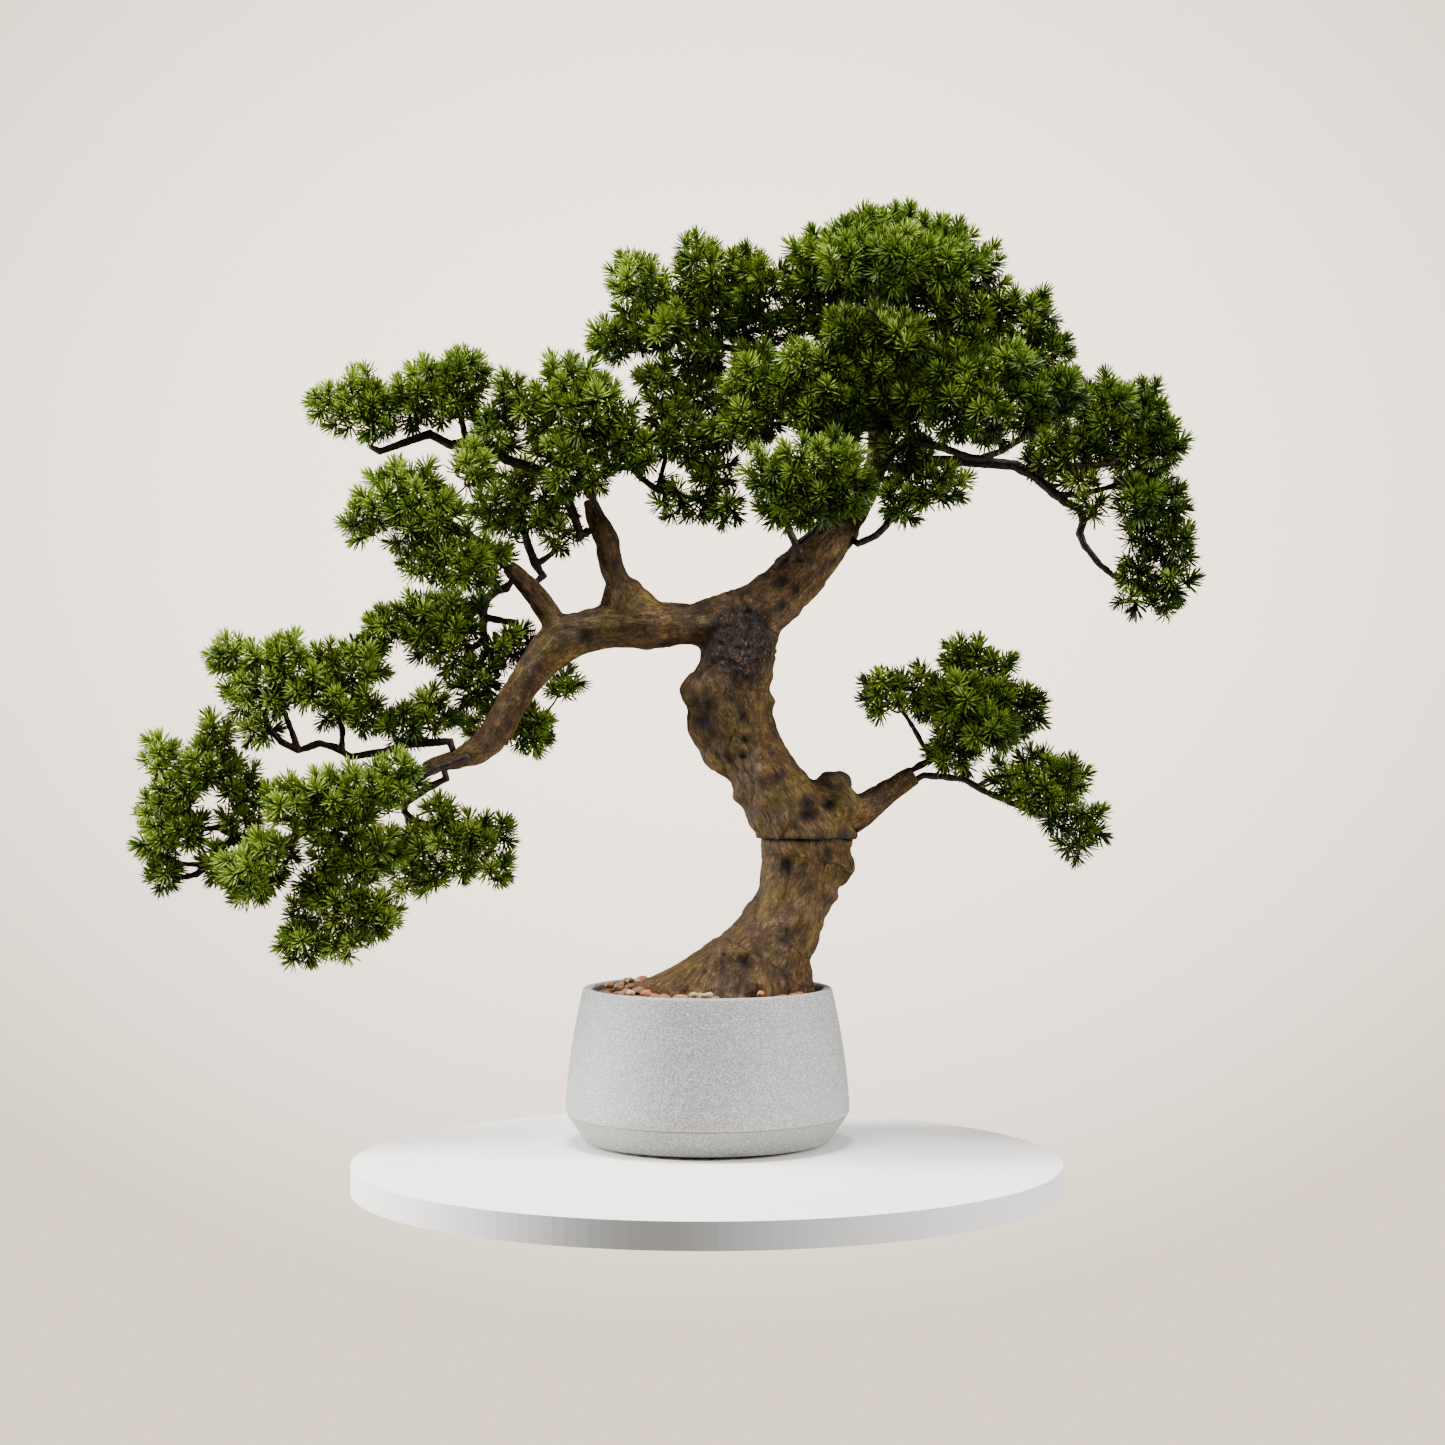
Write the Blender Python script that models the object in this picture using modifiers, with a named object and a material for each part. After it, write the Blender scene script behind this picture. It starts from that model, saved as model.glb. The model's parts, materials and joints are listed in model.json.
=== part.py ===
"""Artificial tabletop tree: a windswept pine of push-in wired sprays on a built-up wooden trunk, in a cement pot.

The origin is on the table, under the middle of the pot. +Z is up, and +X is to the right as seen from the front
(-Y). The pot, its filling and the wood are one rigid body. Each spray is a stem with its needles, and its peg
turns in a socket drilled in the wood.
"""

import math
import random

import bmesh
import bpy
from mathutils import Matrix, Vector, geometry

# ---- driving dimensions, in metres ---------------------------------------------------------------------------
POT_HEIGHT = 0.124
RIM_RADIUS = 0.100
BELLY_RADIUS = 0.1133
BELLY_HEIGHT = 0.0265
BELLY_EDGE = 0.0028  # height of the crisp edge under the belly, above the chamfer
BELLY_STEP = 0.0016  # how far the chamfer starts inside the belly
FOOT_RADIUS = 0.0985
POT_WALL = 0.008
POT_FLOOR = 0.009
LIP_ROUND = 0.0015
SIDE_FULLNESS = 1.6  # 1 is a straight side from belly to rim, more is fuller
PAD_INSET = 0.0105  # from the foot's edge
PAD_THICKNESS = 0.0025

ROOT_DEPTH = 0.024  # the roots' underside and the pebbles' underside, below the rim
PEBBLE_DEPTH = 0.020
BALLAST_DEPTH = 0.035  # the cement poured in the bottom of the pot
ROOT_GAP = 0.0012  # between the roots and the pebbles
ROOT_MARGIN = 0.0024  # between the widest root and the pot's wall at the lip

ROD_RADIUS = 0.005
ROD_PLACE = 0.062  # along X, under the middle of the trunk
ROD_STAND = 0.0079  # its lower end, above the ballast's underside
ROD_REACH = 0.186  # above the roots' underside
DOWEL_RADIUS = 0.004
DOWEL_LENGTH = 0.044
BORE_CLEARANCE = 0.0004
WOOD_GIRTH = 1.0  # scales every bough's thickness

PEG_RADIUS = 0.0022
PEG_DEPTH = 0.006
PEG_NECK = 0.003  # straight length of a stem outside its socket
SOCKET_CLEARANCE = 0.0004
TOUCH_GAP = 0.0003  # between solids that touch
SWAY_GAP = 0.006  # between the needles of one spray and the next
WOOD_GAP = 0.004  # between needles and another piece's wood or stem
LINK_RADIUS = 0.0045  # the sparse needles that join one clump to the next
LEAST_CLUMP = 0.0055
MERGED_SHARE = 0.7  # clumps nearer than this share of their two radii need no link

TURNED_STEPS = 32
TRUNK_SIDES = 20
BOUGH_SIDES = 10
STEM_SIDES = 6
ROOM_SIDES = 4  # a square hole holds the whole stem
LINK_SIDES = 4

# ---- the tree's own frame -------------------------------------------------------------------------------------
# The routes and clumps below are in millimetres, laid out with the roots' underside 100 mm above the table. A
# taller or lower pot lifts or lowers them all.
MM = 0.001
LAID_OUT_ROOTS = 100
ROOT_PLANE = POT_HEIGHT - ROOT_DEPTH


def place(x, y, z):
    return Vector((x * MM, y * MM, (z - LAID_OUT_ROOTS) * MM + ROOT_PLANE))


def route(*points, girth=1.0, keeps_underside=False):
    """[(place, radius)] from (x, y, z, radius) in millimetres. A point without a radius keeps the last one. The girth
    doesn't change the first point, which is hidden in another piece. A bough that keeps its underside grows upwards."""
    found = []
    drawn = 0
    for x, y, z, *given in points:
        drawn = given[0] if given else drawn
        radius = drawn * girth if found else drawn
        found.append((place(x, y, z + (radius - drawn if keeps_underside else 0)), radius * MM))
    return found


# The trunk's rings are level: middle x, height, half width, half depth.
GAP = TOUCH_GAP / MM
TRUNK_SEAM = 243
CROTCH_SEAM = 374
LOWER_TRUNK_RINGS = (
    (4, LAID_OUT_ROOTS + GAP, 80, 62), (6, 116, 77, 58), (14, 126, 70, 54), (24, 136, 60, 50), (36, 148, 50, 45),
    (47, 162, 41, 40), (60, 180, 34, 35), (71, 200, 33.5, 33), (77, 222, 33.5, 32), (80, TRUNK_SEAM - GAP, 38, 34),
)
UPPER_TRUNK_RINGS = (
    (81, TRUNK_SEAM, 41, 36), (74, 256, 42, 37), (64, 270, 40, 36), (52, 286, 35, 34), (41, 302, 31.5, 32),
    (31, 318, 29.5, 30), (23, 334, 31, 30), (16, 350, 33.5, 31), (14, 362, 35, 32), (20, CROTCH_SEAM, 33, 31),
)
FORK_RINGS = ((20.5, CROTCH_SEAM + GAP, 32, 32), (25, 388, 31, 31), (27, 404, 32, 31), (28, 418, 25, 25))
BURL = (98, -2, 278, 18)
ROOT_LOBES = 5
ROOT_LOBE_DEPTH = 0.07
# The roots fill the pot at its lip, and the spread fades out up the trunk.
ROOT_REACH = (LOWER_TRUNK_RINGS[0][0] + LOWER_TRUNK_RINGS[0][2] * (1 + ROOT_LOBE_DEPTH)) * MM
ROOT_SPREAD = (RIM_RADIUS - POT_WALL - ROOT_MARGIN) / ROOT_REACH

# The boughs: middle line and radius. The first point of each is inside the piece that it grows from.
BOUGHS = {
    "fork_arms": route(
        (-12.7, 0, 414, 18.5), (6, 0, 415, 22), (26, 0, 417, 25), (46, 0, 427, 24), (57.5, 0, 438, 22.5),
    ),
    "left_bough": route(
        (-9, 0, 414.2, 17.8), (-30, 0, 413.1, 19.5), (-48, -1, 413), (-66, -2, 414, 18), (-84, -3, 412, 17.5),
        (-102, -4, 408, 18), (-116, -5, 402, 18.5), (-128, -6, 391, 17), (-138, -7, 378, 15),
        (-148, -8, 364, 13.5), (-157, -9, 349, 13), (-164, -10, 335, 13.5), (-173, -11, 321, 12.5),
        (-186, -12, 311, 11), (-200, -12, 306, 9), (-214, -12, 302.5, 7.5), (-226, -12, 298, 6),
        girth=WOOD_GIRTH,
    ),
    "riser_bough": route(
        (-72, -2, 422, 15), (-72, -2, 435, 13), (-71, -2, 447, 11), (-76, -2, 458, 11.5), (-79, -2, 470),
        (-80, -2, 480, 11), (-85, -2, 490, 10), (-90, -2, 500, 8.5), (-93, -2, 509, 7.5), (-94, -2, 514, 6.5),
        girth=WOOD_GIRTH,
    ),
    "left_stub_bough": route(
        (-114, -5, 404, 12), (-121, -4, 414, 10.5), (-128, -3, 425, 9.5), (-136, -2, 436, 9), (-145, -1, 446),
        (-153, 0, 454, 8), (-160, 1, 461, 7), girth=WOOD_GIRTH,
    ),
    "right_bough": route(
        (50, 0, 431, 21.5), (72, 0, 452), (84, 1, 465, 20.5), (94, 2, 476, 19), (104, 3, 487, 16.5),
        (113, 4, 496, 13.5), girth=WOOD_GIRTH,
    ),
    "crown_leader": route(
        (109, 3.5, 492, 11.8), (120, 5, 503, 10.5), (129, 7, 522, 9.5), (136, 10, 546, 9), (137, 10, 575, 8.5),
        (133, 10, 605, 8), (131, 9, 635, 7.5), (133, 7, 660, 6.5), (134, 6, 668, 6), girth=WOOD_GIRTH,
    ),
    "low_right_stub": route(
        (98, 0, 256, 19), (112, 0, 261, 17), (124, 0, 266, 14.5), (136, 0, 274, 11.5), (150, 0, 284, 9.5),
        (160, 0, 290.5, 8.7), (166, 0, 294, 8.3), girth=WOOD_GIRTH, keeps_underside=True,
    ),
}
GROWS_FROM = {
    "left_bough": ["fork_joint"],
    "right_bough": ["fork_joint"],
    "crown_leader": ["right_bough"],
    "riser_bough": ["left_bough"],
    "left_stub_bough": ["left_bough"],
    "low_right_stub": ["trunk_upper", "trunk_lower"],
}

# Each spray: the bough and how far along it (1 is its end), the side that it leaves on, the routes of its wires
# after the socket, and the clumps of needles on them. The first route is the main wire.
SPRAYS = {
    "low_right_upper": {
        "seat": ("low_right_stub", 1, (0, 0, 1)),
        "wires": [
            route((180, 4, 306, 2.4), (196, 6, 318, 2), (212, 6, 335, 1.8), (208, 6, 360, 1.5)),
            route((180, 4, 306, 2), (172, 0, 318, 1.6), (164, -4, 332, 1.4), (155, -6, 345, 1.2)),
        ],
        "clumps": [
            (140, -8, 358, 15), (170, 4, 358, 18), (196, -14, 352, 19), (200, 22, 350, 17),
            (226, -4, 346, 22), (248, 6, 346, 19), (206, 4, 384, 15), (232, 8, 374, 13), (222, -24, 330, 13),
            (240, 20, 330, 13),
        ],
    },
    "low_right_lower": {
        "seat": ("low_right_stub", 1, (0, 0, -1)),
        "wires": [
            route((188, -3, 292, 2.4), (205, -4, 290, 2.2), (220, -6, 281), (238, -5, 273, 2), (262, -2, 262, 1.6),
                  (280, 0, 262, 1.3)),
            route((216, -5, 285, 1.8), (224, -12, 290, 1.4), (232, -16, 293)),
        ],
        "clumps": [
            (242, -10, 290, 13), (266, 6, 296, 15), (286, -4, 292, 13), (264, -8, 274, 14), (284, 4, 262, 14),
            (304, 0, 256, 11), (294, 2, 238, 10), (284, 16, 280, 11),
        ],
    },
    "right_droop": {
        "seat": ("crown_leader", 0.26, (1, -0.15, 0.1)),
        "wires": [
            route((165, 8, 545, 4.6), (205, 4, 545, 4.4), (245, 0, 541, 4.2), (262, -2, 532, 4),
                  (275, -3, 520, 3.8), (286, -4, 511, 3.4), (297, -4, 506, 3.2), (300, -4, 497, 3),
                  (297, -4, 486, 2.8), (301, -3, 477, 2.6), (314, -2, 461, 2.2), (325, -2, 452, 2),
                  (342, -2, 446, 1.7), (362, -2, 441, 1.5)),
            route((262, -2, 533, 2.8), (272, -8, 538, 2.6), (290, -12, 539, 2.4), (320, -14, 541, 2),
                  (340, -12, 555, 1.6)),
            route((279, -3, 517, 2.4), (300, 4, 518, 2), (325, 10, 525, 1.7), (345, 12, 540, 1.5)),
        ],
        "clumps": [
            (318, -8, 584, 22), (346, 0, 586, 20), (306, -6, 560, 16), (336, 4, 556, 19), (362, 2, 558, 17),
            (350, 12, 532, 17), (344, -10, 512, 15), (366, 4, 508, 14), (350, 2, 486, 14), (372, -2, 476, 14),
            (342, -2, 456, 12), (372, -2, 448, 12), (340, -4, 434, 8), (364, -2, 430, 8),
        ],
    },
    "crown_mid_right": {
        "seat": ("crown_leader", 0.35, (0.5, -0.85, 0.1)),
        "wires": [
            route((160, -20, 560, 3.4), (185, -34, 552, 3), (205, -38, 544, 2.6), (215, -40, 543, 2.4),
                  (230, -42, 548, 2.2), (250, -40, 560, 1.8)),
        ],
        "clumps": [
            (166, -36, 586, 17), (190, -46, 578, 18), (218, -54, 572, 19), (248, -50, 580, 19),
            (274, -42, 592, 16), (208, -46, 606, 18), (238, -48, 610, 17), (182, -42, 612, 14),
        ],
    },
    "crown_mid_left": {
        "seat": ("crown_leader", 0.47, (-0.8, -0.55, 0.1)),
        "wires": [
            route((112, -6, 578, 3.2), (95, -14, 570, 3), (78, -18, 568, 2.6), (60, -20, 575, 2.2),
                  (45, -20, 588, 1.8)),
        ],
        "clumps": [
            (104, -30, 596, 18), (80, -26, 590, 18), (54, -22, 598, 17), (32, -18, 610, 14),
            (72, -32, 616, 16), (98, -34, 618, 14),
        ],
    },
    "crown_back": {
        "seat": ("crown_leader", 0.58, (0.1, 1, 0.1)),
        "wires": [
            route((136, 40, 600, 2.8), (140, 65, 596, 2.4), (146, 90, 596, 2)),
            route((138, 55, 598, 2.2), (110, 75, 600, 2), (90, 85, 605, 1.8)),
            route((140, 65, 596, 2.2), (170, 80, 600, 2), (195, 88, 606, 1.8)),
        ],
        "clumps": [
            (142, 84, 604, 22), (112, 92, 612, 20), (172, 92, 612, 20), (88, 84, 614, 16), (200, 88, 614, 16),
            (140, 96, 634, 19), (166, 70, 626, 14), (112, 68, 628, 14),
        ],
    },
    "crown_left": {
        "seat": ("crown_leader", 0.68, (-1, 0.1, 0.1)),
        "wires": [
            route((90, 14, 625, 3.2), (50, 14, 632, 3), (30, 12, 634, 2.8), (5, 8, 638, 2.6), (-10, 6, 649, 2.4),
                  (-25, 4, 642, 2.2), (-40, 4, 636, 2), (-46, 4, 638, 1.8)),
            route((-5, 6, 646, 2), (-3, 5, 665, 1.8), (-3, 4, 675)),
            route((-10, 6, 649, 2), (-30, 10, 654, 1.8)),
        ],
        "clumps": [
            (-2, 4, 686, 19), (-28, 6, 668, 17), (-52, 4, 652, 17), (-74, 2, 644, 14), (4, 8, 660, 16),
            (26, 12, 654, 15), (46, 14, 650, 11), (-10, 2, 706, 13), (-34, -8, 648, 13),
        ],
    },
    "crown_shoulder": {
        "seat": ("crown_leader", 0.78, (1, 0.25, 0.3)),
        "wires": [
            route((160, 12, 645, 3.6), (180, 12, 655, 3.2), (200, 14, 660, 2.8), (235, 16, 655, 2.2),
                  (265, 16, 640, 1.8)),
        ],
        "clumps": [
            (238, 18, 664, 16), (260, 14, 662, 18), (246, 22, 640, 17), (274, 14, 632, 17),
            (286, 12, 606, 15), (258, 20, 612, 16), (270, 16, 592, 13), (222, 24, 642, 12),
        ],
    },
    "crown_top": {
        "seat": ("crown_leader", 1, (1, 0, 0)),
        "wires": [
            route((136, 4, 682, 4), (140, 0, 700, 3), (150, -4, 715, 2)),
            route((137, 3, 686, 2.6), (115, -10, 692, 2.4), (85, -14, 705, 1.8)),
            route((138, 3, 688, 2.6), (165, -6, 692, 2.4), (200, -8, 705, 1.8)),
            route((138, 2, 690, 2.4), (140, 30, 695, 2.2), (150, 50, 705, 1.8)),
            route((138, 2, 692, 2.4), (130, -30, 693, 2.2), (125, -50, 700, 1.8)),
        ],
        "clumps": [
            (90, 0, 702, 23), (120, -22, 712, 27), (152, -4, 720, 25), (184, -6, 712, 26), (212, 2, 698, 20),
            (110, -48, 694, 20), (148, -52, 696, 22), (186, -46, 692, 19), (98, 38, 694, 20),
            (138, 46, 700, 23), (178, 40, 696, 21), (128, 16, 706, 22), (72, 2, 690, 14), (228, 6, 688, 12),
        ],
    },
    "crown_low_front": {
        "seat": ("right_bough", 0.45, (-0.2, -1, 0.3)),
        "wires": [
            route((72, -30, 470, 3), (66, -34, 483, 2.6), (60, -45, 500, 2.2), (50, -52, 515, 1.8)),
            route((71, -31, 473, 2.2), (84, -36, 484, 2), (95, -44, 500, 1.8)),
        ],
        "clumps": [
            (60, -48, 506, 17), (84, -54, 514, 17), (110, -50, 518, 16), (48, -54, 530, 16),
            (74, -60, 538, 17), (100, -56, 538, 15),
        ],
    },
    "crown_low_right": {
        "seat": ("right_bough", 0.9, (0.6, -0.5, -0.5)),
        "wires": [
            route((134, -14, 484, 2.6), (143, -14, 493, 2.4), (152, -13, 504, 2.2), (165, -12, 515, 2),
                  (180, -10, 520, 1.8)),
        ],
        "clumps": [
            (154, -16, 510, 13), (176, -14, 520, 14), (194, -12, 524, 11),
        ],
    },
    "bridge": {
        "seat": ("riser_bough", 1, (1, 0, 0)),
        "wires": [
            route((-90, 2, 530, 2.8), (-82, 4, 539, 2.6), (-62, 2, 540, 2.4), (-52, 0, 530, 2.2),
                  (-40, -2, 521, 2), (-28, -4, 518), (-10, -6, 514, 1.7), (18, -8, 505, 1.4)),
            route((-40, -2, 521, 1.8), (-34, 0, 545, 1.6), (-36, 0, 580, 1.4)),
        ],
        "clumps": [
            (-26, -6, 512, 11), (-4, -8, 506, 10), (14, -8, 508, 10), (4, -4, 532, 14), (-14, -2, 554, 13),
            (-36, 0, 560, 12), (-4, 0, 576, 13), (-30, 0, 584, 15), (-6, 0, 596, 12),
        ],
    },
    "left_top_inner": {
        "seat": ("riser_bough", 0.86, (0.3, -0.95, 0)),
        "wires": [
            route((-92, -18, 515, 2.8), (-100, -17, 532, 2.6), (-110, -14, 552, 2.4), (-118, -12, 575, 2)),
            route((-100, -17, 532, 2.2), (-88, -16, 552, 2), (-80, -14, 572, 1.8)),
        ],
        "clumps": [
            (-116, -12, 592, 17), (-142, -10, 588, 15), (-92, -14, 592, 17), (-74, -10, 582, 12),
            (-112, -10, 612, 14), (-130, -12, 570, 12), (-98, -16, 570, 12), (-156, -8, 600, 10),
        ],
    },
    "left_top_outer": {
        "seat": ("riser_bough", 0.76, (-1, -0.1, 0)),
        "wires": [
            route((-110, -6, 510, 4), (-125, -8, 526, 3.6), (-133, -9, 536), (-160, -6, 545, 3.8),
                  (-178, -4, 556, 4), (-190, -4, 560, 3.8), (-205, -3, 557, 3.6), (-222, -2, 566, 3.4),
                  (-240, -1, 560, 3), (-262, 0, 552, 2.4), (-270, 0, 556, 1.6)),
            route((-192, -4, 560, 2.4), (-196, -4, 575, 2.2), (-198, -6, 600, 1.8)),
        ],
        "clumps": [
            (-198, -6, 612, 18), (-222, -6, 606, 16), (-238, -4, 590, 17), (-264, 0, 584, 18),
            (-290, 0, 584, 15), (-208, -4, 590, 14), (-278, 2, 602, 13), (-304, 0, 592, 11),
        ],
    },
    "left_mid_outer": {
        "seat": ("left_stub_bough", 1, (-0.5, -0.5, 0)),
        "wires": [
            route((-174, -8, 474, 3.2), (-190, -18, 485, 2.8), (-215, -24, 500, 2.4), (-240, -26, 510, 2)),
        ],
        "clumps": [
            (-210, -24, 500, 14), (-232, -30, 508, 18), (-256, -26, 504, 17), (-276, -22, 492, 13),
            (-238, -26, 484, 15), (-226, -26, 526, 13), (-250, -26, 528, 12),
        ],
    },
    "left_mid_inner": {
        "seat": ("left_stub_bough", 0.66, (0.5, 0.3, 0.8)),
        "wires": [
            route((-138, 6, 462, 3.2), (-144, 7, 478, 3), (-150, 10, 500, 2.6), (-160, 14, 520, 2)),
            route((-138, 6, 462, 2.4), (-128, 5, 468, 2), (-118, 4, 476, 1.6)),
        ],
        "clumps": [
            (-150, 16, 508, 15), (-172, 18, 506, 15), (-130, 12, 504, 14), (-116, 8, 486, 12),
            (-154, 20, 530, 12),
        ],
    },
    "left_hang": {
        "seat": ("left_stub_bough", 0.85, (-0.6, 0.3, -0.7)),
        "wires": [
            route((-170, 6, 441, 3.4), (-178, 8, 434), (-180, 8, 424, 3.2), (-180, 8, 408, 3), (-178, 8, 398, 2.8),
                  (-172, 8, 384, 2.4), (-168, 8, 372, 2)),
            route((-178, 8, 434, 2.8), (-190, 6, 430, 2.6), (-205, 4, 425, 2.4), (-216, 2, 422, 2)),
            route((-180, 8, 428, 2.4), (-195, 10, 418, 2.2), (-208, 12, 410, 2)),
            route((-180, 8, 420, 2.6), (-165, 4, 417, 2.4), (-152, 2, 415, 2)),
            route((-179, 8, 402, 2.6), (-190, 6, 394, 2.4), (-189, 6, 380, 2.2), (-190, 6, 366, 1.8)),
        ],
        "clumps": [
            (-208, 6, 422, 16), (-234, 4, 418, 16), (-258, 4, 410, 14), (-226, 8, 402, 13),
            (-194, 10, 410, 11), (-186, 8, 374, 13), (-192, 4, 360, 10),
            (-204, 8, 390, 10),
        ],
    },
    "elbow_sprig": {
        "seat": ("left_bough", 0.70, (-0.5, 0.9, 0)),
        "wires": [
            route((-166, 18, 350, 2.6), (-174, 24, 346, 2.2), (-186, 26, 342, 1.8)),
            route((-166, 18, 350, 2.2), (-154, 24, 340, 2), (-142, 26, 332, 1.6)),
        ],
        "clumps": [
            (-180, 28, 340, 12), (-160, 28, 338, 10), (-142, 26, 332, 10), (-192, 28, 332, 9),
        ],
    },
    "low_left_front": {
        "seat": ("left_bough", 0.86, (0, -1, -0.1)),
        "wires": [
            route((-215, -30, 298, 2.8), (-235, -32, 288, 2.6), (-262, -32, 276, 2.4), (-290, -30, 262, 2.2),
                  (-320, -28, 256, 2), (-345, -28, 262, 1.6)),
            route((-262, -32, 276, 2.4), (-280, -26, 252, 2.2), (-290, -18, 235, 2), (-300, -14, 200, 1.8),
                  (-290, -10, 170, 1.6), (-285, -8, 148, 1.4)),
        ],
        "clumps": [
            (-244, -34, 292, 15), (-270, -36, 284, 17), (-300, -34, 276, 18), (-330, -32, 270, 17),
            (-302, -28, 252, 14), (-278, -26, 254, 12), (-294, -18, 228, 15), (-304, -14, 202, 16),
            (-284, -12, 186, 14), (-290, -8, 164, 15), (-318, -12, 186, 11),
        ],
    },
    "low_left_upper": {
        "seat": ("left_bough", 0.90, (0, -0.2, 1)),
        "wires": [
            route((-225, -6, 319, 3.2), (-240, -4, 318, 3), (-258, -2, 312, 2.8), (-285, -2, 308, 2.6),
                  (-298, -3, 316), (-310, -4, 319), (-326, -5, 313), (-340, -6, 320, 2.4), (-350, -6, 332, 2.2),
                  (-354, -6, 345, 1.8)),
            route((-326, -5, 313, 2.2), (-332, -3, 328, 2), (-338, -2, 344, 1.7)),
            route((-292, -2, 312, 2.2), (-292, 0, 330, 2), (-300, 2, 350, 1.7)),
        ],
        "clumps": [
            (-296, 2, 352, 17), (-272, 2, 344, 14), (-318, 0, 366, 18), (-344, -4, 362, 17),
            (-370, -4, 360, 14), (-334, -2, 386, 15), (-308, 2, 382, 15), (-356, -4, 386, 11),
            (-252, -2, 332, 10),
        ],
    },
    "low_left_inner": {
        "seat": ("left_bough", 0.94, (0, 0.25, -1)),
        "wires": [
            route((-222, -6, 284, 2.8), (-232, 0, 278), (-243, 5, 270), (-243, 5, 264, 2.6), (-236, 4, 257, 2.4),
                  (-226, 4, 255, 2), (-205, 4, 256, 1.8), (-180, 4, 250)),
            route((-241, 5, 261, 2.2), (-239, 6, 250, 2), (-240, 6, 240, 1.8), (-232, 6, 225)),
        ],
        "clumps": [
            (-230, 6, 240, 15), (-208, 4, 244, 15), (-184, 4, 244, 14), (-226, 6, 216, 14),
            (-242, 6, 210, 11), (-198, 4, 226, 11), (-164, 4, 250, 9), (-214, 2, 262, 9),
        ],
    },
    "low_left_far": {
        "seat": ("left_bough", 1, (0, 1, 0)),
        "wires": [
            route((-245, 2, 292, 3.2), (-275, 4, 276, 3), (-305, 4, 256, 2.9), (-335, 2, 242, 2.8),
                  (-362, 0, 240), (-380, -1, 240), (-390, -2, 236, 2.6), (-397, -2, 224, 2.4),
                  (-408, -2, 214, 2.2), (-426, -2, 210, 1.6)),
            route((-372, 0, 239, 2.6), (-384, 0, 248, 2.4), (-390, 0, 252, 2.2), (-403, 0, 250, 2),
                  (-412, 0, 262, 1.7), (-418, 0, 272)),
            route((-397, -2, 222, 2), (-415, -2, 222, 1.6), (-428, -2, 224)),
            route((-355, 0, 241, 2.4), (-366, 4, 262, 2.2), (-378, 6, 275, 1.8)),
        ],
        "clumps": [
            (-424, 0, 284, 17), (-402, 2, 302, 17), (-378, 6, 292, 15), (-436, 0, 262, 14),
            (-438, -2, 238, 13), (-436, -2, 216, 12), (-396, 4, 326, 11), (-412, -2, 248, 12),
            (-362, 6, 278, 10),
        ],
    },
}


# ---- scene, materials and objects -----------------------------------------------------------------------------
def clear_scene():
    for obj in list(bpy.data.objects):
        bpy.data.objects.remove(obj)


def collection(name):
    made = bpy.data.collections.new(name)
    bpy.context.scene.collection.children.link(made)
    return made


def material(name, colour, roughness, metallic=0.0):
    made = bpy.data.materials.new(name)
    made.use_nodes = True
    shader = made.node_tree.nodes["Principled BSDF"]
    shader.inputs["Base Color"].default_value = (*colour, 1)
    shader.inputs["Roughness"].default_value = roughness
    shader.inputs["Metallic"].default_value = metallic
    return made


def mesh_object(name, shape, finish, group):
    """An object from a bmesh of closed shapes, its faces turned outwards."""
    bmesh.ops.recalc_face_normals(shape, faces=shape.faces)
    mesh = bpy.data.meshes.new(name)
    shape.to_mesh(mesh)
    shape.free()
    if finish is not None:
        mesh.materials.append(finish)
    mesh.shade_smooth()
    mesh.set_sharp_from_angle(angle=math.radians(40))
    obj = bpy.data.objects.new(name, mesh)
    group.objects.link(obj)
    if group is cutters:
        obj.hide_render = True
        obj.display_type = "WIRE"
    return obj


def boolean(obj, other, operation):
    modifier = obj.modifiers.new(f"{operation.lower()} {other.name}", "BOOLEAN")
    modifier.object = other
    modifier.operation = operation
    modifier.solver = "EXACT"
    modifier.use_self = True


# ---- shapes ---------------------------------------------------------------------------------------------------
def turned(name, profile, finish):
    """A profile of (radius, height) from the axis over the top and down the outside, spun with a Screw."""
    mesh = bpy.data.meshes.new(name)
    corners = [(radius, 0, height) for radius, height in profile]
    mesh.from_pydata(corners, [(i, i + 1) for i in range(len(corners) - 1)], [])
    mesh.materials.append(finish)
    obj = bpy.data.objects.new(name, mesh)
    parts.objects.link(obj)
    screw = obj.modifiers.new("turn", "SCREW")
    screw.steps = screw.render_steps = TURNED_STEPS
    screw.use_merge_vertices = True
    screw.merge_threshold = 0.00001
    screw.use_smooth_shade = True
    return obj


def upright_cylinder(name, x, radius, low, high, finish, group, segments=16):
    shape = bmesh.new()
    middle = Matrix.Translation((x, 0, (low + high) / 2))
    bmesh.ops.create_cone(
        shape, cap_ends=True, segments=segments, radius1=radius, radius2=radius, depth=high - low, matrix=middle
    )
    return mesh_object(name, shape, finish, group)


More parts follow.
